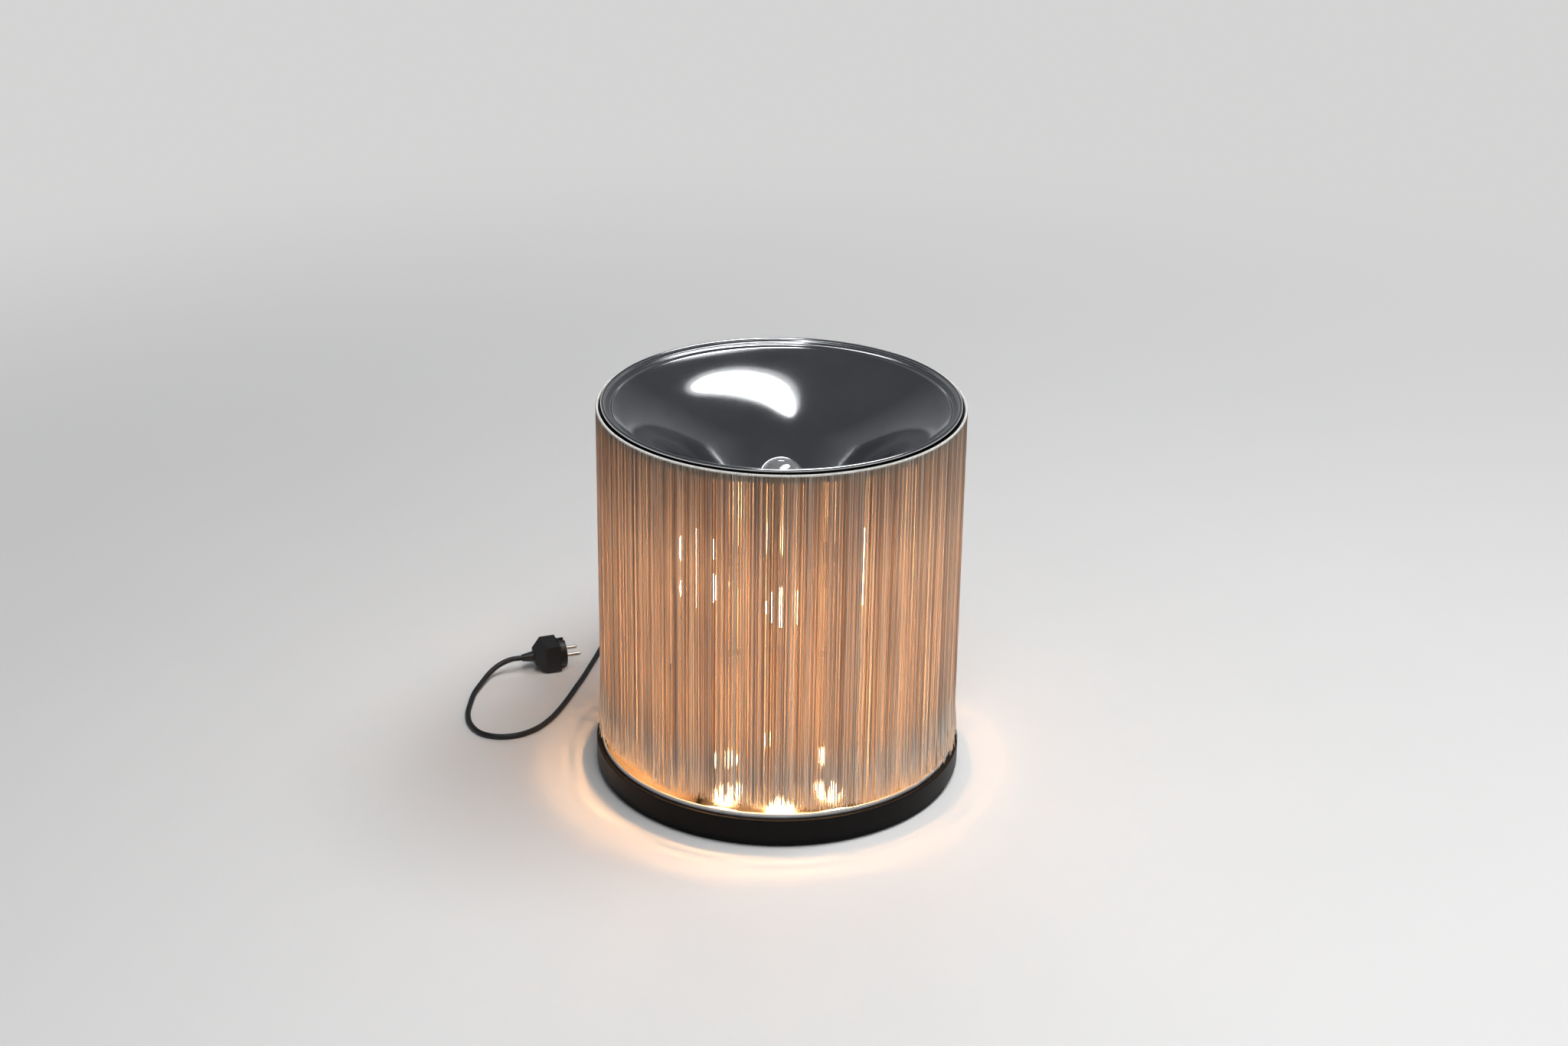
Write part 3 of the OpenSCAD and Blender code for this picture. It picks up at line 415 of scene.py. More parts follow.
leadSpec = {
    "diameter": 6.5,
    "glandEnd": (0, 236.1, 21),
    "out": [(0, 250, 20), (1, 265, 15), (3, 281, 8.5), (5, 298, 5)],
    "coilCentre": (-40, 322),
    "coilRadius": 46,
    "coilStep": 7.1,
    "coilLayer": 7.1,
    "coilTurns": 4.25,
    "coilLow": 4.15,
    "link": [(-53, 368, 11.25), (-63.5, 368, 10)],
    "switchIn": (-70, 368, 10),
}
tailSpec = {
    "switchOut": (-134, 368, 10),
    "route": [  # points without a height lie on the floor
        (-140.5, 368, 10), (-153, 367.5, 7.7), (-169, 364, 4.6), (-187, 355), (-202, 340), (-212, 320),
        (-218, 297), (-223, 271), (-228, 244), (-234, 216), (-240, 188), (-247, 160), (-254, 132),
        (-262, 104), (-272, 77), (-286, 53), (-306, 36), (-330, 31), (-352, 40), (-366, 61), (-372, 87),
        (-372, 113), (-370, 138, 4.2), (-363.5, 160, 6.8), (-355, 180.5, 10.8), (-344.7, 193.4, 15),
    ],
    "floor": 3.3,
    "plug": (-318, 206, 18.55),
    "plugTurn": 20.0,
    "plugRun": 14.0,
}


def throughPoints(points, steps=6):
    points = [Vector(p) for p in points]
    line = [2 * points[0] - points[1], *points, 2 * points[-1] - points[-2]]
    smooth = []
    for a, b, c, d in zip(line, line[1:], line[2:], line[3:]):
        for i in range(steps):
            t = i / steps
            bend = 2 * a - 5 * b + 4 * c - d + t * (3 * (b - c) + d - a)
            smooth.append(b + 0.5 * t * (c - a + t * bend))
    return smooth + [points[-1]]


def coilPoints(spec, perTurn=48):
    total = 360 * spec["coilTurns"]
    points = []
    for i in range(int(spec["coilTurns"] * perTurn) + 1):
        angle = 360 * i / perTurn
        radius = spec["coilRadius"] - spec["coilStep"] * min(angle, total - angle) / 360
        climb = min(1, max(0, (angle - total / 2 + 90) / 180))
        height = spec["coilLow"] + spec["coilLayer"] * (1 - math.cos(math.pi * climb)) / 2
        turn = math.radians(angle)
        points.append(Vector((spec["coilCentre"][0] + radius * math.cos(turn),
                              spec["coilCentre"][1] + radius * math.sin(turn), height)))
    return points


def makeCord(name, points, diameter):
    data = bpy.data.curves.new(name, "CURVE")
    data.dimensions = "3D"
    spline = data.splines.new("POLY")
    spline.points.add(len(points) - 1)
    for target, p in zip(spline.points, points):
        target.co = (*(Vector(p) * mm), 1)
    data.bevel_depth = diameter / 2 * mm
    data.bevel_resolution = 3
    data.use_fill_caps = True
    cord = bpy.data.objects.new(name, data)
    data.materials.append(finish["rubber"])
    scene.collection.objects.link(cord)
    length = sum((b - a).length for a, b in zip(points, points[1:]))
    print(name, round(length), "mm")
    return cord, length * mm


def layCords(lead, tail):
    thick = lead["diameter"]
    coil = coilPoints(lead)
    coilIn = coil[0] - Vector((0, thick, 0))
    coilOut = coil[-1] - Vector((thick, 0, 0))
    front = throughPoints([lead["glandEnd"], *lead["out"], coilIn])
    back = throughPoints([coilOut, *lead["link"], lead["switchIn"]])
    leadCord, leadLength = makeCord("leadCord", front + coil + back, thick)
    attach(leadCord, "lamp")
    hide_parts("cord_lead", "cord_coil", "cord_link")
    turn = math.radians(tail["plugTurn"])
    plugIn = Vector(tail["plug"]) - tail["plugRun"] * Vector((math.cos(turn), math.sin(turn), 0))
    route = [p if len(p) == 3 else (*p, tail["floor"]) for p in tail["route"]]
    free = throughPoints([tail["switchOut"], *route, plugIn, tail["plug"]])
    tailCord, tailLength = makeCord("tailCord", free, thick)
    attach(tailCord, "lamp")
    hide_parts("cord_tail")


layCords(leadSpec, tailSpec)


# Turned pieces, in millimetres

def arc(centre, radius, start, end, steps):
    angles = [math.radians(start + (end - start) * i / steps) for i in range(steps + 1)]
    return [Vector((centre[0] + radius * math.cos(a), centre[1] + radius * math.sin(a))) for a in angles]


def runLength(path):
    return sum((Vector(b) - Vector(a)).length for a, b in zip(path, path[1:]))


def softened(path, radius, steps=4, reach=0.45):
    path = [Vector(p) for p in path]
    made = [path[0]]
    for a, b, c in zip(path, path[1:], path[2:]):
        run = min(radius, (b - a).length * reach, (c - b).length * reach)
        start = b + (a - b).normalized() * run
        end = b + (c - b).normalized() * run
        for i in range(steps + 1):
            t = i / steps
            made.append((1 - t) ** 2 * start + 2 * t * (1 - t) * b + t * t * end)
    return made + [path[-1]]


def sheetOutline(path, thickness):
    path = [Vector(p) for p in path]

    def rightOf(a, b):
        along = (b - a).normalized()
        return Vector((along.y, -along.x))

    back = []
    for i, p in enumerate(path):
        before = rightOf(path[max(i - 1, 0)], path[max(i, 1)])
        after = rightOf(path[min(i, len(path) - 2)], path[min(i + 1, len(path) - 1)])
        middle = (before + after).normalized()
        back.append(p + middle * thickness / middle.dot(before))
    return path + back[::-1]


def lathe(name, outline, body, material, replaced, segments, sharp=32, turn=None):
    mesh = bpy.data.meshes.new(name)
    build = bmesh.new()
    uvLayer = build.loops.layers.uv.new("UVMap")
    runs = [0.0]
    for a, b in zip(outline, outline[1:] + outline[:1]):
        runs.append(runs[-1] + (Vector(b) - Vector(a)).length * mm)
    rings = []
    for r, z in outline:
        if abs(r) < 1e-6:
            rings.append([build.verts.new((0, 0, z * mm))] * segments)
            continue
        rings.append([build.verts.new((r * mm * math.cos(a), r * mm * math.sin(a), z * mm))
                      for a in (2 * math.pi * s / segments for s in range(segments))])
    for i, ringA in enumerate(rings):
        j = (i + 1) % len(rings)
        ringB = rings[j]
        around = max(outline[i][0], outline[j][0]) * mm * 2 * math.pi
        for s in range(segments):
            t = (s + 1) % segments
            corners = [(ringA[s], s, runs[i]), (ringA[t], s + 1, runs[i]),
                       (ringB[t], s + 1, runs[i + 1]), (ringB[s], s, runs[i + 1])]
            kept = [c for k, c in enumerate(corners) if c[0] not in [d[0] for d in corners[:k]]]
            if len(kept) < 3:
                continue
            face = build.faces.new([c[0] for c in kept])
            face.smooth = True
            for loop, c in zip(face.loops, kept):
                loop[uvLayer].uv = (around * c[1] / segments, c[2])
    bmesh.ops.recalc_face_normals(build, faces=build.faces)
    for edge in build.edges:
        if len(edge.link_faces) == 2 and edge.calc_face_angle(0) > math.radians(sharp):
            edge.smooth = False
    if turn is not None:
        build.transform(turn)
    build.to_mesh(mesh)
    build.free()
    mesh.materials.append(material)
    piece = bpy.data.objects.new(name, mesh)
    scene.collection.objects.link(piece)
    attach(piece, body)
    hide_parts(*replaced)


dishSpec = {
    "sheet": 1.2,
    "bead": 2.3,
    "beadStart": 170,
    "ledgeDrop": 4.8,
    "ledge": (6.2, 1.2),  # width and fall
    "step": (1.5, 3.0),
    "slope": (7.5, 4.0),
    "bowlDepth": 117.5,
    "floorRadius": 52.0,
    "floorBend": 40.0,
    "drawnBend": 10.0,  # the bend at the floor is drawn tighter, out of sight behind the near rim
    "wallAngle": 58.0,
    "edgeAngle": 20.0,
    "hole": 24.0,
    "softBend": 1.0,  # radius of the pressed edges of the step
    "metal": (0.66, 0.67, 0.685),
    "polish": (0.08, 0.15),
    "rings": 1100.0,  # turning marks
    "ringDepth": 0.03,
    "ledgeFinish": 0.12,
    "underside": 0.6,  # roughness of the unpolished back
    "backMetal": (0.30, 0.29, 0.275),
}


def makeDish(spec):
    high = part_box("reflector_dish")[1]
    rim, top = high.x / mm, high.z / mm
    beadAt = rim - spec["bead"]
    side = beadAt - spec["bead"]
    ledgeTop = top - spec["ledgeDrop"]
    ledgeIn = side - spec["ledge"][0]
    stepIn = ledgeIn - spec["step"][0]
    edgeR = stepIn - spec["slope"][0]
    edgeZ = ledgeTop - spec["ledge"][1] - spec["step"][1] - spec["slope"][1]
    floorZ = top - spec["bowlDepth"]
    # the straight wall runs from the bend at the floor to where the flare begins
    wall, flareEnd = math.radians(spec["wallAngle"]), math.radians(spec["edgeAngle"])
    bendR = spec["floorBend"]
    run = edgeR - spec["floorRadius"] - bendR * math.sin(wall)
    rise = edgeZ - floorZ - bendR * (1 - math.cos(wall))
    flareRun = math.sin(wall) - math.sin(flareEnd)
    flareRise = math.cos(flareEnd) - math.cos(wall)
    flareR = (run * math.tan(wall) - rise) / (flareRun * math.tan(wall) - flareRise)
    foot = Vector((spec["floorRadius"] + bendR * math.sin(wall), floorZ + bendR * (1 - math.cos(wall))))
    head = foot + (run - flareR * flareRun) * Vector((1, math.tan(wall)))
    flareC = head + flareR * Vector((math.sin(wall), -math.cos(wall)))
    corner = foot.x - (foot.y - floorZ) / math.tan(wall)
    tight = spec["drawnBend"]
    floorEnd = corner - tight * math.tan(wall / 2)
    bowl = [Vector((spec["hole"], floorZ))]
    bowl += arc((floorEnd, floorZ + tight), tight, -90, spec["wallAngle"] - 90, steps=16)
    bowl += arc(flareC, flareR, 90 + spec["wallAngle"], 90 + spec["edgeAngle"], steps=28)
    rimPath = [bowl[-1], (stepIn, edgeZ + spec["slope"][1]), (ledgeIn, ledgeTop - spec["ledge"][1]),
               (side, ledgeTop), (side, top - spec["bead"])]
    path = bowl[:-1] + softened(rimPath, spec["softBend"])
    back = sheetOutline(path, spec["sheet"])[len(path):]
    foldEnd = math.degrees(math.acos(1 - spec["sheet"] / spec["bead"])) - 180
    bead = arc((beadAt, top - spec["bead"]), spec["bead"], spec["beadStart"], foldEnd, steps=22)
    wallRun, rimRun, backRun = runLength(bowl), runLength(path), runLength(path + bead)
    ledge = {"from": wallRun, "to": rimRun, "soft": 1, "rough": spec["ledgeFinish"]}
    under = {"from": backRun, "to": 2 * backRun, "soft": 0.3, "rough": spec["underside"],
             "metal": spec["backMetal"]}
    chrome = turnedMetal("chromePlate", spec, [ledge, under])
    lathe("reflectorDish", path + bead + back[1:], "lamp", chrome, ["reflector_dish"], 480)


makeDish(dishSpec)

traySpec = {
    "sheet": 1.0,
    "lipWidth": 2.3,
    "lipHeight": 5.0,
    "seat": 1.7,
    "rise": 34.0,  # of the dome in the middle
    "hole": 8.3,
    "backTrim": 0.3,  # degrees by which the back of the dome stops short of the seat
    "metal": (0.56, 0.525, 0.48),
    "polish": (0.05, 0.11),
    "rings": 1100.0,
    "ringDepth": 0.04,
    "lip": 0.5,  # roughness
    "lipMetal": (0.87, 0.87, 0.875),
    # painted shade: a near-black colour on the seat and inner side of the lip, where shade falls
    "paintedGrooveShade": (0.05, 0.046, 0.042),
}


def makeTray(spec):
    low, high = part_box("lower_reflector")
    outer, foot = high.x / mm, low.z / mm
    edge = outer - spec["lipWidth"] - spec["seat"]
    radius = (edge ** 2 + spec["rise"] ** 2) / (2 * spec["rise"])
    centre = foot + spec["sheet"] + spec["rise"] - radius
    edgeAngle = math.degrees(math.acos(edge / radius))
    holeAngle = math.degrees(math.acos(spec["hole"] / radius))
    half = spec["lipWidth"] / 2
    outline = arc((0, centre), radius, holeAngle, edgeAngle, steps=40)
    dome = runLength(outline)
    outline += [Vector((outer - spec["lipWidth"], foot + spec["sheet"]))]
    outline += arc((outer - half, foot + spec["lipHeight"] - half), half, 180, 0, steps=14)
    outline += [Vector((outer, foot)), Vector((edge, foot))]
    outline += arc((0, centre), radius - spec["sheet"], edgeAngle + spec["backTrim"], holeAngle, steps=40)
    lipTop = dome + spec["seat"] + spec["lipHeight"] - half - spec["sheet"] + math.pi / 2 * half
    lipEnd = lipTop + 2 * spec["lipHeight"]
    # painted shade in the recess between the dome and the lip
    groove = {"from": dome, "to": lipTop, "soft": 0.3, "rough": spec["lip"], "metal": spec["paintedGrooveShade"]}
    lip = {"from": lipTop, "to": lipEnd, "soft": 0.3, "rough": spec["lip"], "metal": spec["lipMetal"]}
    aluminium = turnedMetal("polishedAluminium", spec, [groove, lip])
    lathe("lowerReflector", outline, "lamp", aluminium, ["lower_reflector"], 256)


makeTray(traySpec)

smallBulb = {
    "globe": 22.5,
    "centre": 107.0,  # from the lamp's axis
    "neck": 6.3,
    "mouth": 76.0,  # end of the cap
    "straight": 0.5,  # neck above the cap
    "inside": 9.0,  # neck within the cap
    "join": 140.0,  # angle from the top of the globe to where the neck meets it
    "wall": 0.8,
}
topBulb = {
    "globe": 27.5,
    "neck": 12.45,
    "belowTop": 67.0,  # end of the cap
    "straight": 0.5,
    "inside": 9.0,
    "join": 118.0,
    "wall": 0.8,
}
ringSpec = {"count": 6, "first": -86.0}


def bulbOutline(globe, centre, neck, low, bend, join, neckSteps=12, globeSteps=40):
    turn = math.radians(join)
    meet = Vector((globe * math.sin(turn), centre + globe * math.cos(turn)))
    pull = Vector((neck, meet.y - (meet.x - neck) / -math.cos(turn) * math.sin(turn)))
    start = Vector((neck, bend))
    made = [Vector((neck, low))]
    for i in range(neckSteps + 1):
        t = i / neckSteps
        made.append((1 - t) ** 2 * start + 2 * t * (1 - t) * pull + t * t * meet)
    for i in range(1, globeSteps):
        a = turn * (1 - i / globeSteps)
        made.append(Vector((globe * math.sin(a), centre + globe * math.cos(a))))
    return made + [Vector((0, centre + globe))]


def bulbShell(spec, centre, mouth):
    low, bend = mouth - spec["inside"], mouth + spec["straight"]
    globe, neck, wall = spec["globe"], spec["neck"], spec["wall"]
    outside = bulbOutline(globe, centre, neck, low, bend, spec["join"])
    inside = bulbOutline(globe - wall, centre, neck - wall, low, bend, spec["join"])
    return outside + inside[::-1]


def makeBulbs(small, big, ring):
    hubLow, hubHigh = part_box("hub")
    lift = Matrix.Translation((0, 0, (hubLow.z + hubHigh.z) / 2))
    lying = Matrix.Rotation(math.pi / 2, 4, "Y")
    shell = bulbShell(small, small["centre"], small["mouth"])
    for k in range(ring["count"]):
        angle = math.radians(ring["first"] + 360 / ring["count"] * k)
        turn = lift @ Matrix.Rotation(angle, 4, "Z") @ lying
        lathe(f"globeBulb{k + 1}", shell, f"bulb_{k + 1}", finish["glow"],
              [f"bulb_glass_{k + 1}"], 64, turn=turn)
    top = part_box("top_bulb_glass")[1].z / mm
    shell = bulbShell(big, top - big["globe"], top - big["belowTop"])
    lathe("topBulb", shell, "top_bulb", finish["silvered"], ["top_bulb_glass"], 96)


makeBulbs(smallBulb, topBulb, ringSpec)
print("turned pieces made")


# Fringe, in metres

fringeNodes = [f"fringe_{k + 1}" for k in range(8)]
fringeSpec = {
    "Strings": 480,  # in one panel
    "Radius": 0.2042,
    "Layer": 0.0009,  # how far strings lie behind or before each other
    "Top": 0.4425,
    "Hem": 0.0395,
    "SideLift": 0.0155,  # how much higher the hem is on the near left than on the far right
    "LiftTurn": 0.75,  # angle at which the hem is lowest
    "Lowest": 0.0406,  # just above the lip of the lower reflector
    "Ragged": 0.0095,
    "Thickness": 0.00051,
    "Drift": 0.0009,  # how far strings bunch sideways at the hem
    "Belly": 0.0010,
    "Splay": 0.0052,  # how far stray tips stand out
    "Points": 12,
}
stringShape = {
    "crowding": (-1.2, 2.2),  # how far a string may stand from its even place, in spacings
    "waveScale": 9.0,
    "wave": 2.2,  # height of the hem's waves, in parts of Ragged
    "fewShort": 1.6,  # above 1, few ends are much shorter than the others
    "longer": 0.004,
    "spread": 0.0025,  # of the ends that would touch the lip
    "upright": 0.0012,  # share of the height that the bunches follow; low keeps the strings straight
    "bunchScale": 400.0,
    "swayScale": 26.0,
    "swing": 4.0,  # brings the bunches up to the size of Drift and Belly
    "plumb": 0.45,  # level of sway at which a string hangs plumb
    "strays": (0.8, 1.0),  # tones of the strings that stray
    "loose": (0.88, 1.0),  # part of a string that stands out
    "thinning": (0.93, 1.0),
    "tip": 0.45,
}
socketKinds = {"Strings": "Int", "Stitches": "Int", "Points": "Int", "Seed": "Int", "Material": "Material"}


def newGroup(name, inputs):
    tree = bpy.data.node_groups.new(name, "GeometryNodeTree")
    face = tree.interface
    face.new_socket(name="Geometry", in_out="INPUT", socket_type="NodeSocketGeometry")
    ids = {}
    for key in inputs:
        kind = "NodeSocket" + socketKinds.get(key, "Float")
        ids[key] = face.new_socket(name=key, in_out="INPUT", socket_type=kind).identifier
    face.new_socket(name="Geometry", in_out="OUTPUT", socket_type="NodeSocketGeometry")
    return tree, ids, put(tree, "NodeGroupInput").outputs


def chance(tree, seed, low, high):
    return put(tree, "FunctionNodeRandomValue", {2: low, 3: high, 8: seed}, data_type="FLOAT").outputs[1]


def pointsOnRing(tree, count, radius, angle, height):
    points = put(tree, "GeometryNodePoints", {"Count": count}).outputs[0]
    x = calc(tree, "MULTIPLY", radius, calc(tree, "COSINE", angle))
    y = calc(tree, "MULTIPLY", radius, calc(tree, "SINE", angle))
    at = together(tree, x, y, height)
    return put(tree, "GeometryNodeSetPosition", {"Geometry": points, "Position": at}).outputs[0]


def toned(tree, geometry, tone):
    inputs = {"Geometry": geometry, "Name": "stringTone", "Value": tone}
    kept = put(tree, "GeometryNodeStoreNamedAttribute", inputs, data_type="FLOAT", domain="POINT")
    return kept.outputs[0]


def dress(tree, geometry, material):
    real = put(tree, "GeometryNodeRealizeInstances", {0: geometry}).outputs[0]
    smooth = put(tree, "GeometryNodeSetShadeSmooth", {"Geometry": real}).outputs[0]
    dressed = put(tree, "GeometryNodeSetMaterial", {"Geometry": smooth, "Material": material}).outputs[0]
    put(tree, "NodeGroupOutput", {0: dressed})


def stringTree(spec, shape):
    tree, ids, given = newGroup("hangingStrings", [*spec, "Start", "Sweep", "Seed", "Material"])

    def draw(offset, low, high):
        return chance(tree, calc(tree, "ADD", given["Seed"], offset), low, high)

    # one point for each string, at the top
    index = put(tree, "GeometryNodeInputIndex").outputs[0]
    place = calc(tree, "ADD", index, draw(1, *shape["crowding"]))
    share = calc(tree, "DIVIDE", place, given["Strings"])
    angle = calc(tree, "MULTIPLY_ADD", share, given["Sweep"], given["Start"])
    depth = calc(tree, "MULTIPLY", draw(2, -1.0, 1.0), given["Layer"])
    radius = calc(tree, "ADD", given["Radius"], depth)
    placed = pointsOnRing(tree, given["Strings"], radius, angle, given["Top"])

    # each string's length: a hem that waves and rises to one side, and ragged ends
    where = put(tree, "GeometryNodeInputPosition").outputs[0]
    wavy = noise(tree, where, shape["waveScale"], detail=2.0, rough=0.5)
    waveHeight = calc(tree, "MULTIPLY", given["Ragged"], shape["wave"])
    wave = calc(tree, "MULTIPLY", calc(tree, "SUBTRACT", wavy, 0.5), waveHeight)
    short = calc(tree, "POWER", draw(3, 0.0, 1.0), shape["fewShort"])
    ends = calc(tree, "SUBTRACT", calc(tree, "MULTIPLY", short, given["Ragged"]), shape["longer"])
    turned = calc(tree, "COSINE", calc(tree, "SUBTRACT", angle, given["LiftTurn"]))
    side = calc(tree, "POWER", calc(tree, "MULTIPLY_ADD", turned, -0.5, 0.5), 2.0)
    hem = calc(tree, "ADD", calc(tree, "ADD", given["Hem"], wave), ends)
    hem = calc(tree, "MULTIPLY_ADD", side, given["SideLift"], hem)
    lowest = calc(tree, "ADD", given["Lowest"], draw(5, 0.0, shape["spread"]))
    drop = calc(tree, "SUBTRACT", given["Top"], calc(tree, "MAXIMUM", hem, lowest))
    marked = toned(tree, placed, draw(4, 0.0, 1.0))
    line = put(tree, "GeometryNodeCurvePrimitiveLine", {"Start": (0, 0, 0), "End": (0, 0, -1)}).outputs[0]
    fine = put(tree, "GeometryNodeResampleCurve", {"Curve": line, "Count": given["Points"]}).outputs[0]
    size = together(tree, 1.0, 1.0, drop)
    hung = put(tree, "GeometryNodeInstanceOnPoints", {"Points": marked, "Instance": fine, "Scale": size})
    strings = put(tree, "GeometryNodeRealizeInstances", {0: hung.outputs[0]}).outputs[0]

    # strings drift together in bunches, more towards the hem, and some tips stray outwards
    parts = apart(tree, where)
    down = between(tree, parts["Z"], given["Top"], given["Hem"])
    bunched = together(tree, parts["X"], parts["Y"], calc(tree, "MULTIPLY", parts["Z"], shape["upright"]))
    bunch = noise(tree, bunched, shape["bunchScale"], detail=1.0, rough=0.5)
    sway = noise(tree, bunched, shape["swayScale"], detail=1.0, rough=0.5)
    both = calc(tree, "ADD", calc(tree, "SUBTRACT", bunch, 0.5), calc(tree, "SUBTRACT", sway, 0.5))
    drift = calc(tree, "MULTIPLY", given["Drift"], shape["swing"])
    aside = calc(tree, "MULTIPLY", calc(tree, "MULTIPLY", both, down), drift)
    belly = calc(tree, "MULTIPLY", given["Belly"], shape["swing"])
    lean = calc(tree, "SUBTRACT", sway, shape["plumb"])
    away = calc(tree, "MULTIPLY", calc(tree, "MULTIPLY", lean, down), belly)
    out = vectorCalc(tree, "NORMALIZE", flattened(tree, where))
    around = vectorCalc(tree, "CROSS_PRODUCT", (0, 0, 1), out)
    own = put(tree, "GeometryNodeInputNamedAttribute", {"Name": "stringTone"}, data_type="FLOAT")
    stray = between(tree, own.outputs[0], *shape["strays"])
    along = put(tree, "GeometryNodeSplineParameter").outputs["Factor"]
    loose = between(tree, along, *shape["loose"])
    kick = calc(tree, "MULTIPLY", calc(tree, "MULTIPLY", stray, loose), given["Splay"])
    outwards = scaled(tree, out, calc(tree, "ADD", away, kick))
    shift = vectorCalc(tree, "ADD", scaled(tree, around, aside), outwards)
    swung = put(tree, "GeometryNodeSetPosition", {"Geometry": strings, "Offset": shift}).outputs[0]

    # round strings that thin out at the tip
    tip = between(tree, along, *shape["thinning"], 1.0, shape["tip"])
    circle = {"Resolution": 4, "Radius": given["Thickness"]}
    profile = put(tree, "GeometryNodeCurvePrimitiveCircle", circle).outputs[0]
    tube = {"Curve": swung, "Profile Curve": profile, "Scale": tip, "Fill Caps": True}
    tubes = put(tree, "GeometryNodeCurveToMesh", tube).outputs[0]
    dress(tree, tubes, given["Material"])
    return tree, ids


def grow(name, tree, ids, values):
    piece = bpy.data.objects.new(name, bpy.data.meshes.new(name))
    scene.collection.objects.link(piece)
    modifier = piece.modifiers.new("grow", "NODES")
    modifier.node_group = tree
    for key, value in values.items():
        modifier[ids[key]] = value
    bpy.context.view_layer.update()
    mesh = bpy.data.meshes.new_from_object(piece.evaluated_get(bpy.context.evaluated_depsgraph_get()))
    piece.modifiers.remove(modifier)
    piece.data = mesh
    return piece


def hangFringe(spec, shape):
    tree, ids = stringTree(spec, shape)
    sweep = 2 * math.pi / len(fringeNodes)
    for k, node in enumerate(fringeNodes):
        values = dict(spec, Start=sweep * k, Sweep=sweep, Seed=40 + 10 * k, Material=finish["string"])
        panel = grow(f"stringPanel{k + 1}", tree, ids, values)
        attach(panel, "lamp")
        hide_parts(node)
    print("strings in a panel:", spec["Strings"], "faces:", len(panel.data.polygons))


hangFringe(fringeSpec, stringShape)

tapeSpec = {"inner": 202.5, "outer": 203.6, "top": 444.2, "bottom": 436.2, "edge": 0.4}  # millimetres
edgeSpec = {
    "Stitches": 860,
    "Radius": 0.2040,
    "Height": 0.4434,
    "Long": 0.0017,
    "Wide": 0.00095,
    "Deep": 0.0014,
    "Slant": 0.22,
}


def makeTape(spec):
    edge = spec["edge"]
    outline = [Vector((spec["inner"], spec["bottom"])), Vector((spec["outer"], spec["bottom"]))]
    outline += arc((spec["outer"] - edge, spec["top"] - edge), edge, 0, 90, steps=6)
    outline += arc((spec["inner"] + edge, spec["top"] - edge), edge, 90, 180, steps=6)
    lathe("headingTape", outline, "lamp", finish["tape"], fringeNodes, 384)


def edgeTree(spec):
    tree, ids, given = newGroup("stitchedEdge", [*spec, "Seed", "Material"])
    index = put(tree, "GeometryNodeInputIndex").outputs[0]
    angle = calc(tree, "MULTIPLY", calc(tree, "DIVIDE", index, given["Stitches"]), 2 * math.pi)
    placed = pointsOnRing(tree, given["Stitches"], given["Radius"], angle, given["Height"])
    marked = toned(tree, placed, chance(tree, given["Seed"], 0.55, 1.0))
    bead = put(tree, "GeometryNodeMeshUVSphere", {"Segments": 8, "Rings": 5, "Radius": 1.0}).outputs[0]
    lean = calc(tree, "MULTIPLY", chance(tree, given["Seed"], 0.6, 1.4), given["Slant"])
    turn = together(tree, lean, 0.0, angle)
    size = together(tree, given["Deep"], given["Wide"], given["Long"])
    sewn = put(tree, "GeometryNodeInstanceOnPoints",
               {"Points": marked, "Instance": bead, "Rotation": turn, "Scale": size})
    dress(tree, sewn.outputs[0], given["Material"])
    return tree, ids


def sewEdge(spec):
    tree, ids = edgeTree(spec)
    edge = grow("stitchedEdge", tree, ids, dict(spec, Seed=7, Material=finish["edge"]))
    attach(edge, "lamp")
    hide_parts(*fringeNodes)


makeTape(tapeSpec)
sewEdge(edgeSpec)
print("fringe hung")


# Finishes on the pieces that come from the frame

painted = {
    "lacquer": ["base_pan", "foot_ring", "fringe_hoop"],
    "felt": ["felt_ring"],
    "steel": ["bottom_plate", "bottom_screws", "stem_tube", "stem_nuts", "arm_nipples", "dish_carrier",
              "switch_screws"],
    "nickel": ["spacer_tubes", "hub", "dish_screws", "plug_pins"],
    "brass": ["screw_shells", "contact_springs"],
    "bakelite": ["top_lampholder"] + [f"lampholder_{k}" for k in range(1, 7)],
    "cap": ["top_bulb_cap"] + [f"bulb_cap_{k}" for k in range(1, 7)],
    "plastic": ["switch_base", "switch_cover", "plug_body", "coil_tie"],
    "gloss": ["switch_rocker"],
    "rubber": ["cord_gland", "inner_wiring"],
    "ceramic": ["terminal_block"],
}
for key, names in painted.items():
    for name in names:
        nodes[name].data.materials.clear()
        nodes[name].data.materials.append(finish[key])
print("frame pieces finished")


# Stage

stageSpec = {
    "floor": (0.78, 0.78, 0.775),
    "size": 40.0,
    "sky": (0.21, 0.216, 0.228),
    "wall": (0.185, 0.190, 0.200),
    "ceiling": (0.070, 0.073, 0.080),
    "distance": (0.66, 0.66, 0.657),  # the pale shade that the far floor and the horizon are seen in
    "fade": (0.8, 2.6),  # metres from the lamp
}
lightSpecs = {  # some boxes only light the lamp, others only show in its metal
    "overheadBox": {"at": (1.1, -0.9, 3.9), "turn": 56, "size": (4.8, 1.3), "power": 190,
                    "mirrored": False},
    "overheadFace": {"at": (0.75, -0.15, 3.88), "turn": 56, "size": (4.8, 1.3), "power": 85,
                     "lights": False},
    "backCard": {"at": (0.1, 4.2, 4.3), "turn": 0, "size": (1.7, 1.0), "power": 9, "lights": False},
    "overheadRim": {"at": (0.8, -0.05, 3.95), "turn": 56, "size": (5.5, 1.9), "power": 14,
                    "lights": False},
    "backBox": {"at": (-0.5, 5.0, 3.9), "turn": 0, "size": (3.0, 1.5), "power": 60, "mirrored": False},
}


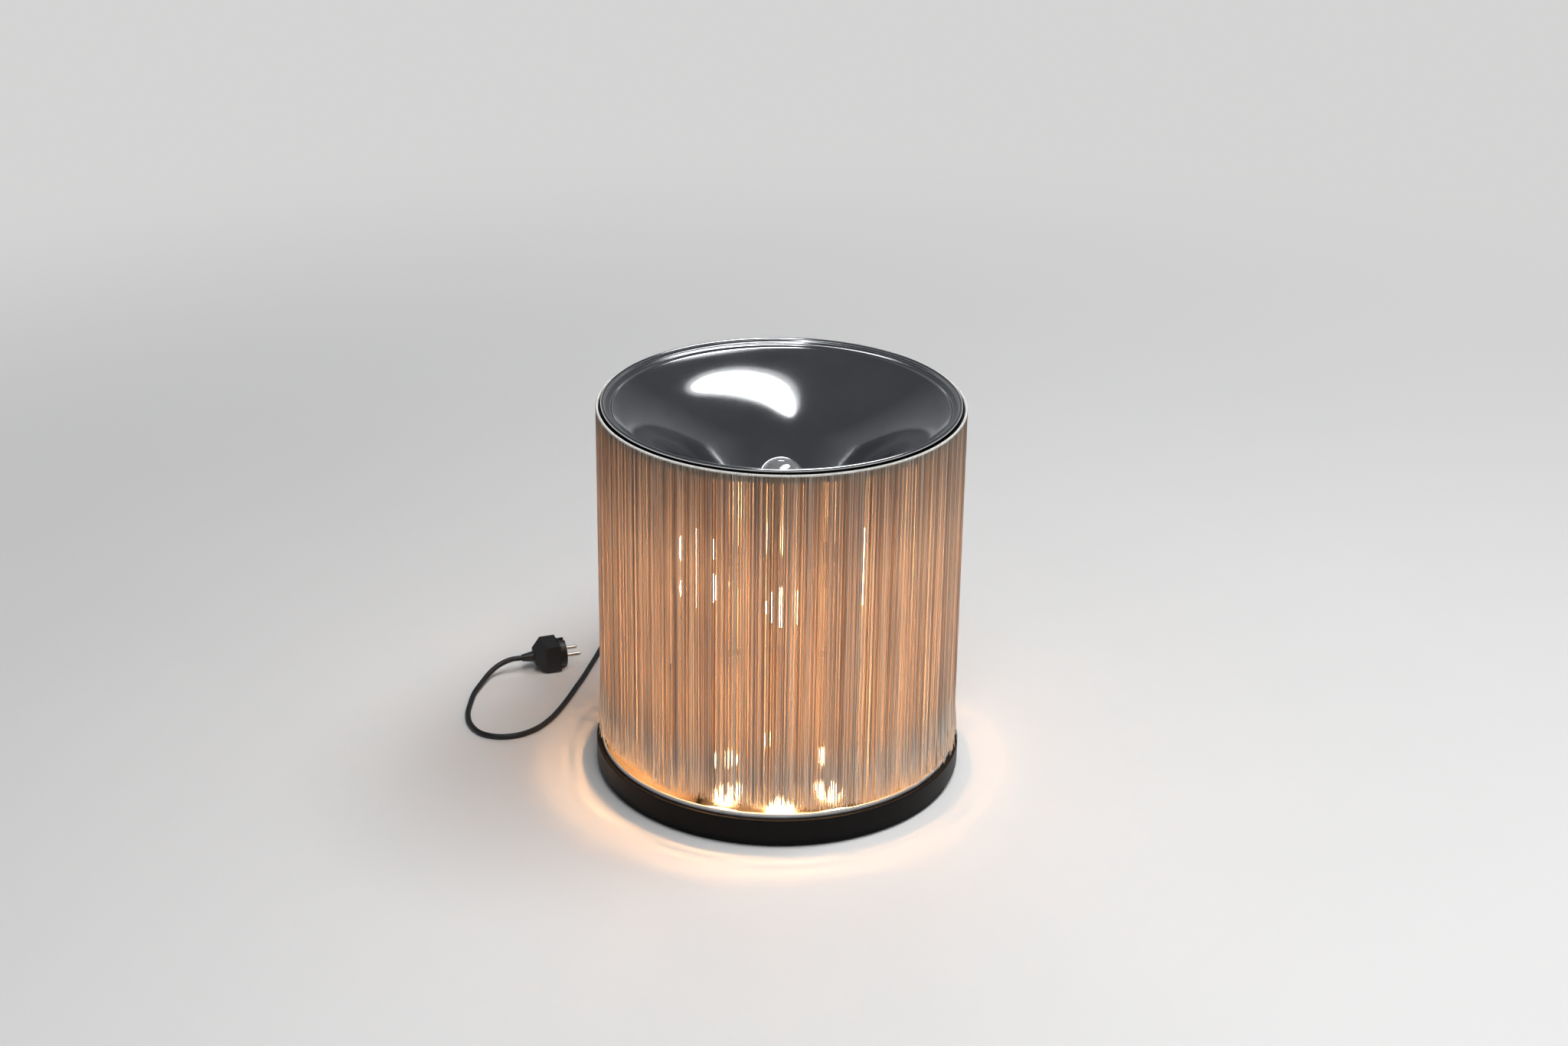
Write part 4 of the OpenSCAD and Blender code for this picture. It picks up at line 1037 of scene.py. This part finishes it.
def seenDirectly(tree):
    path = put(tree, "ShaderNodeLightPath").outputs
    mirrored = calc(tree, "MAXIMUM", path["Is Glossy Ray"], path["Is Transmission Ray"])
    return calc(tree, "MAXIMUM", path["Is Camera Ray"], mirrored)


def makeFloor(spec):
    half = spec["size"] / 2
    corners = [(-half, -half, 0), (half, -half, 0), (half, half, 0), (-half, half, 0)]
    mesh = bpy.data.meshes.new("floor")
    mesh.from_pydata(corners, [], [(0, 1, 2, 3)])
    material, tree, surface, place = newMaterial("paleFloor")
    cloud = noise(tree, place, scale=3, detail=3)
    feed(tree, surface, colour=shades(tree, cloud, times(spec["floor"], 0.985), spec["floor"]))
    fix(surface, {"Roughness": 0.6})
    away = between(tree, fromAxis(tree, place), *spec["fade"], curve="SMOOTHSTEP")
    pale = put(tree, "ShaderNodeEmission", {"Color": (*spec["distance"], 1)})
    mixSurface(tree, calc(tree, "MULTIPLY", away, seenDirectly(tree)), surface, pale)
    material.cycles.emission_sampling = "NONE"  # the pale distance is only seen, it isn't a light
    mesh.materials.append(material)
    floor = bpy.data.objects.new("floor", mesh)
    scene.collection.objects.link(floor)


def makeWorld(spec):
    world = bpy.data.worlds.new("studio")
    scene.world = world
    world.use_nodes = True
    tree = world.node_tree
    up = apart(tree, put(tree, "ShaderNodeTexCoord").outputs["Generated"])["Z"]
    sky = shades(tree, up, spec["sky"], spec["ceiling"], start=0.05, end=0.6)
    horizon = ramp(tree, up, [(0.02, spec["distance"]), (0.15, spec["wall"]), (0.6, spec["ceiling"])])
    shown = mixColour(tree, seenDirectly(tree), sky, horizon)
    tree.links.new(shown, tree.nodes["Background"].inputs["Color"])


def softbox(name, at, turn, size, power, lights=True, mirrored=True):
    data = bpy.data.lights.new(name, "AREA")
    data.shape = "ELLIPSE" if mirrored else "RECTANGLE"
    data.size, data.size_y = size
    data.energy = power
    lamp = bpy.data.objects.new(name, data)
    lamp.location = at
    lamp.rotation_euler = (0, 0, math.radians(turn))
    lamp.visible_diffuse = lights
    lamp.visible_glossy = mirrored
    scene.collection.objects.link(lamp)


makeFloor(stageSpec)
makeWorld(stageSpec)
for name, spec in lightSpecs.items():
    softbox(name, **spec)
print("stage and lights set")
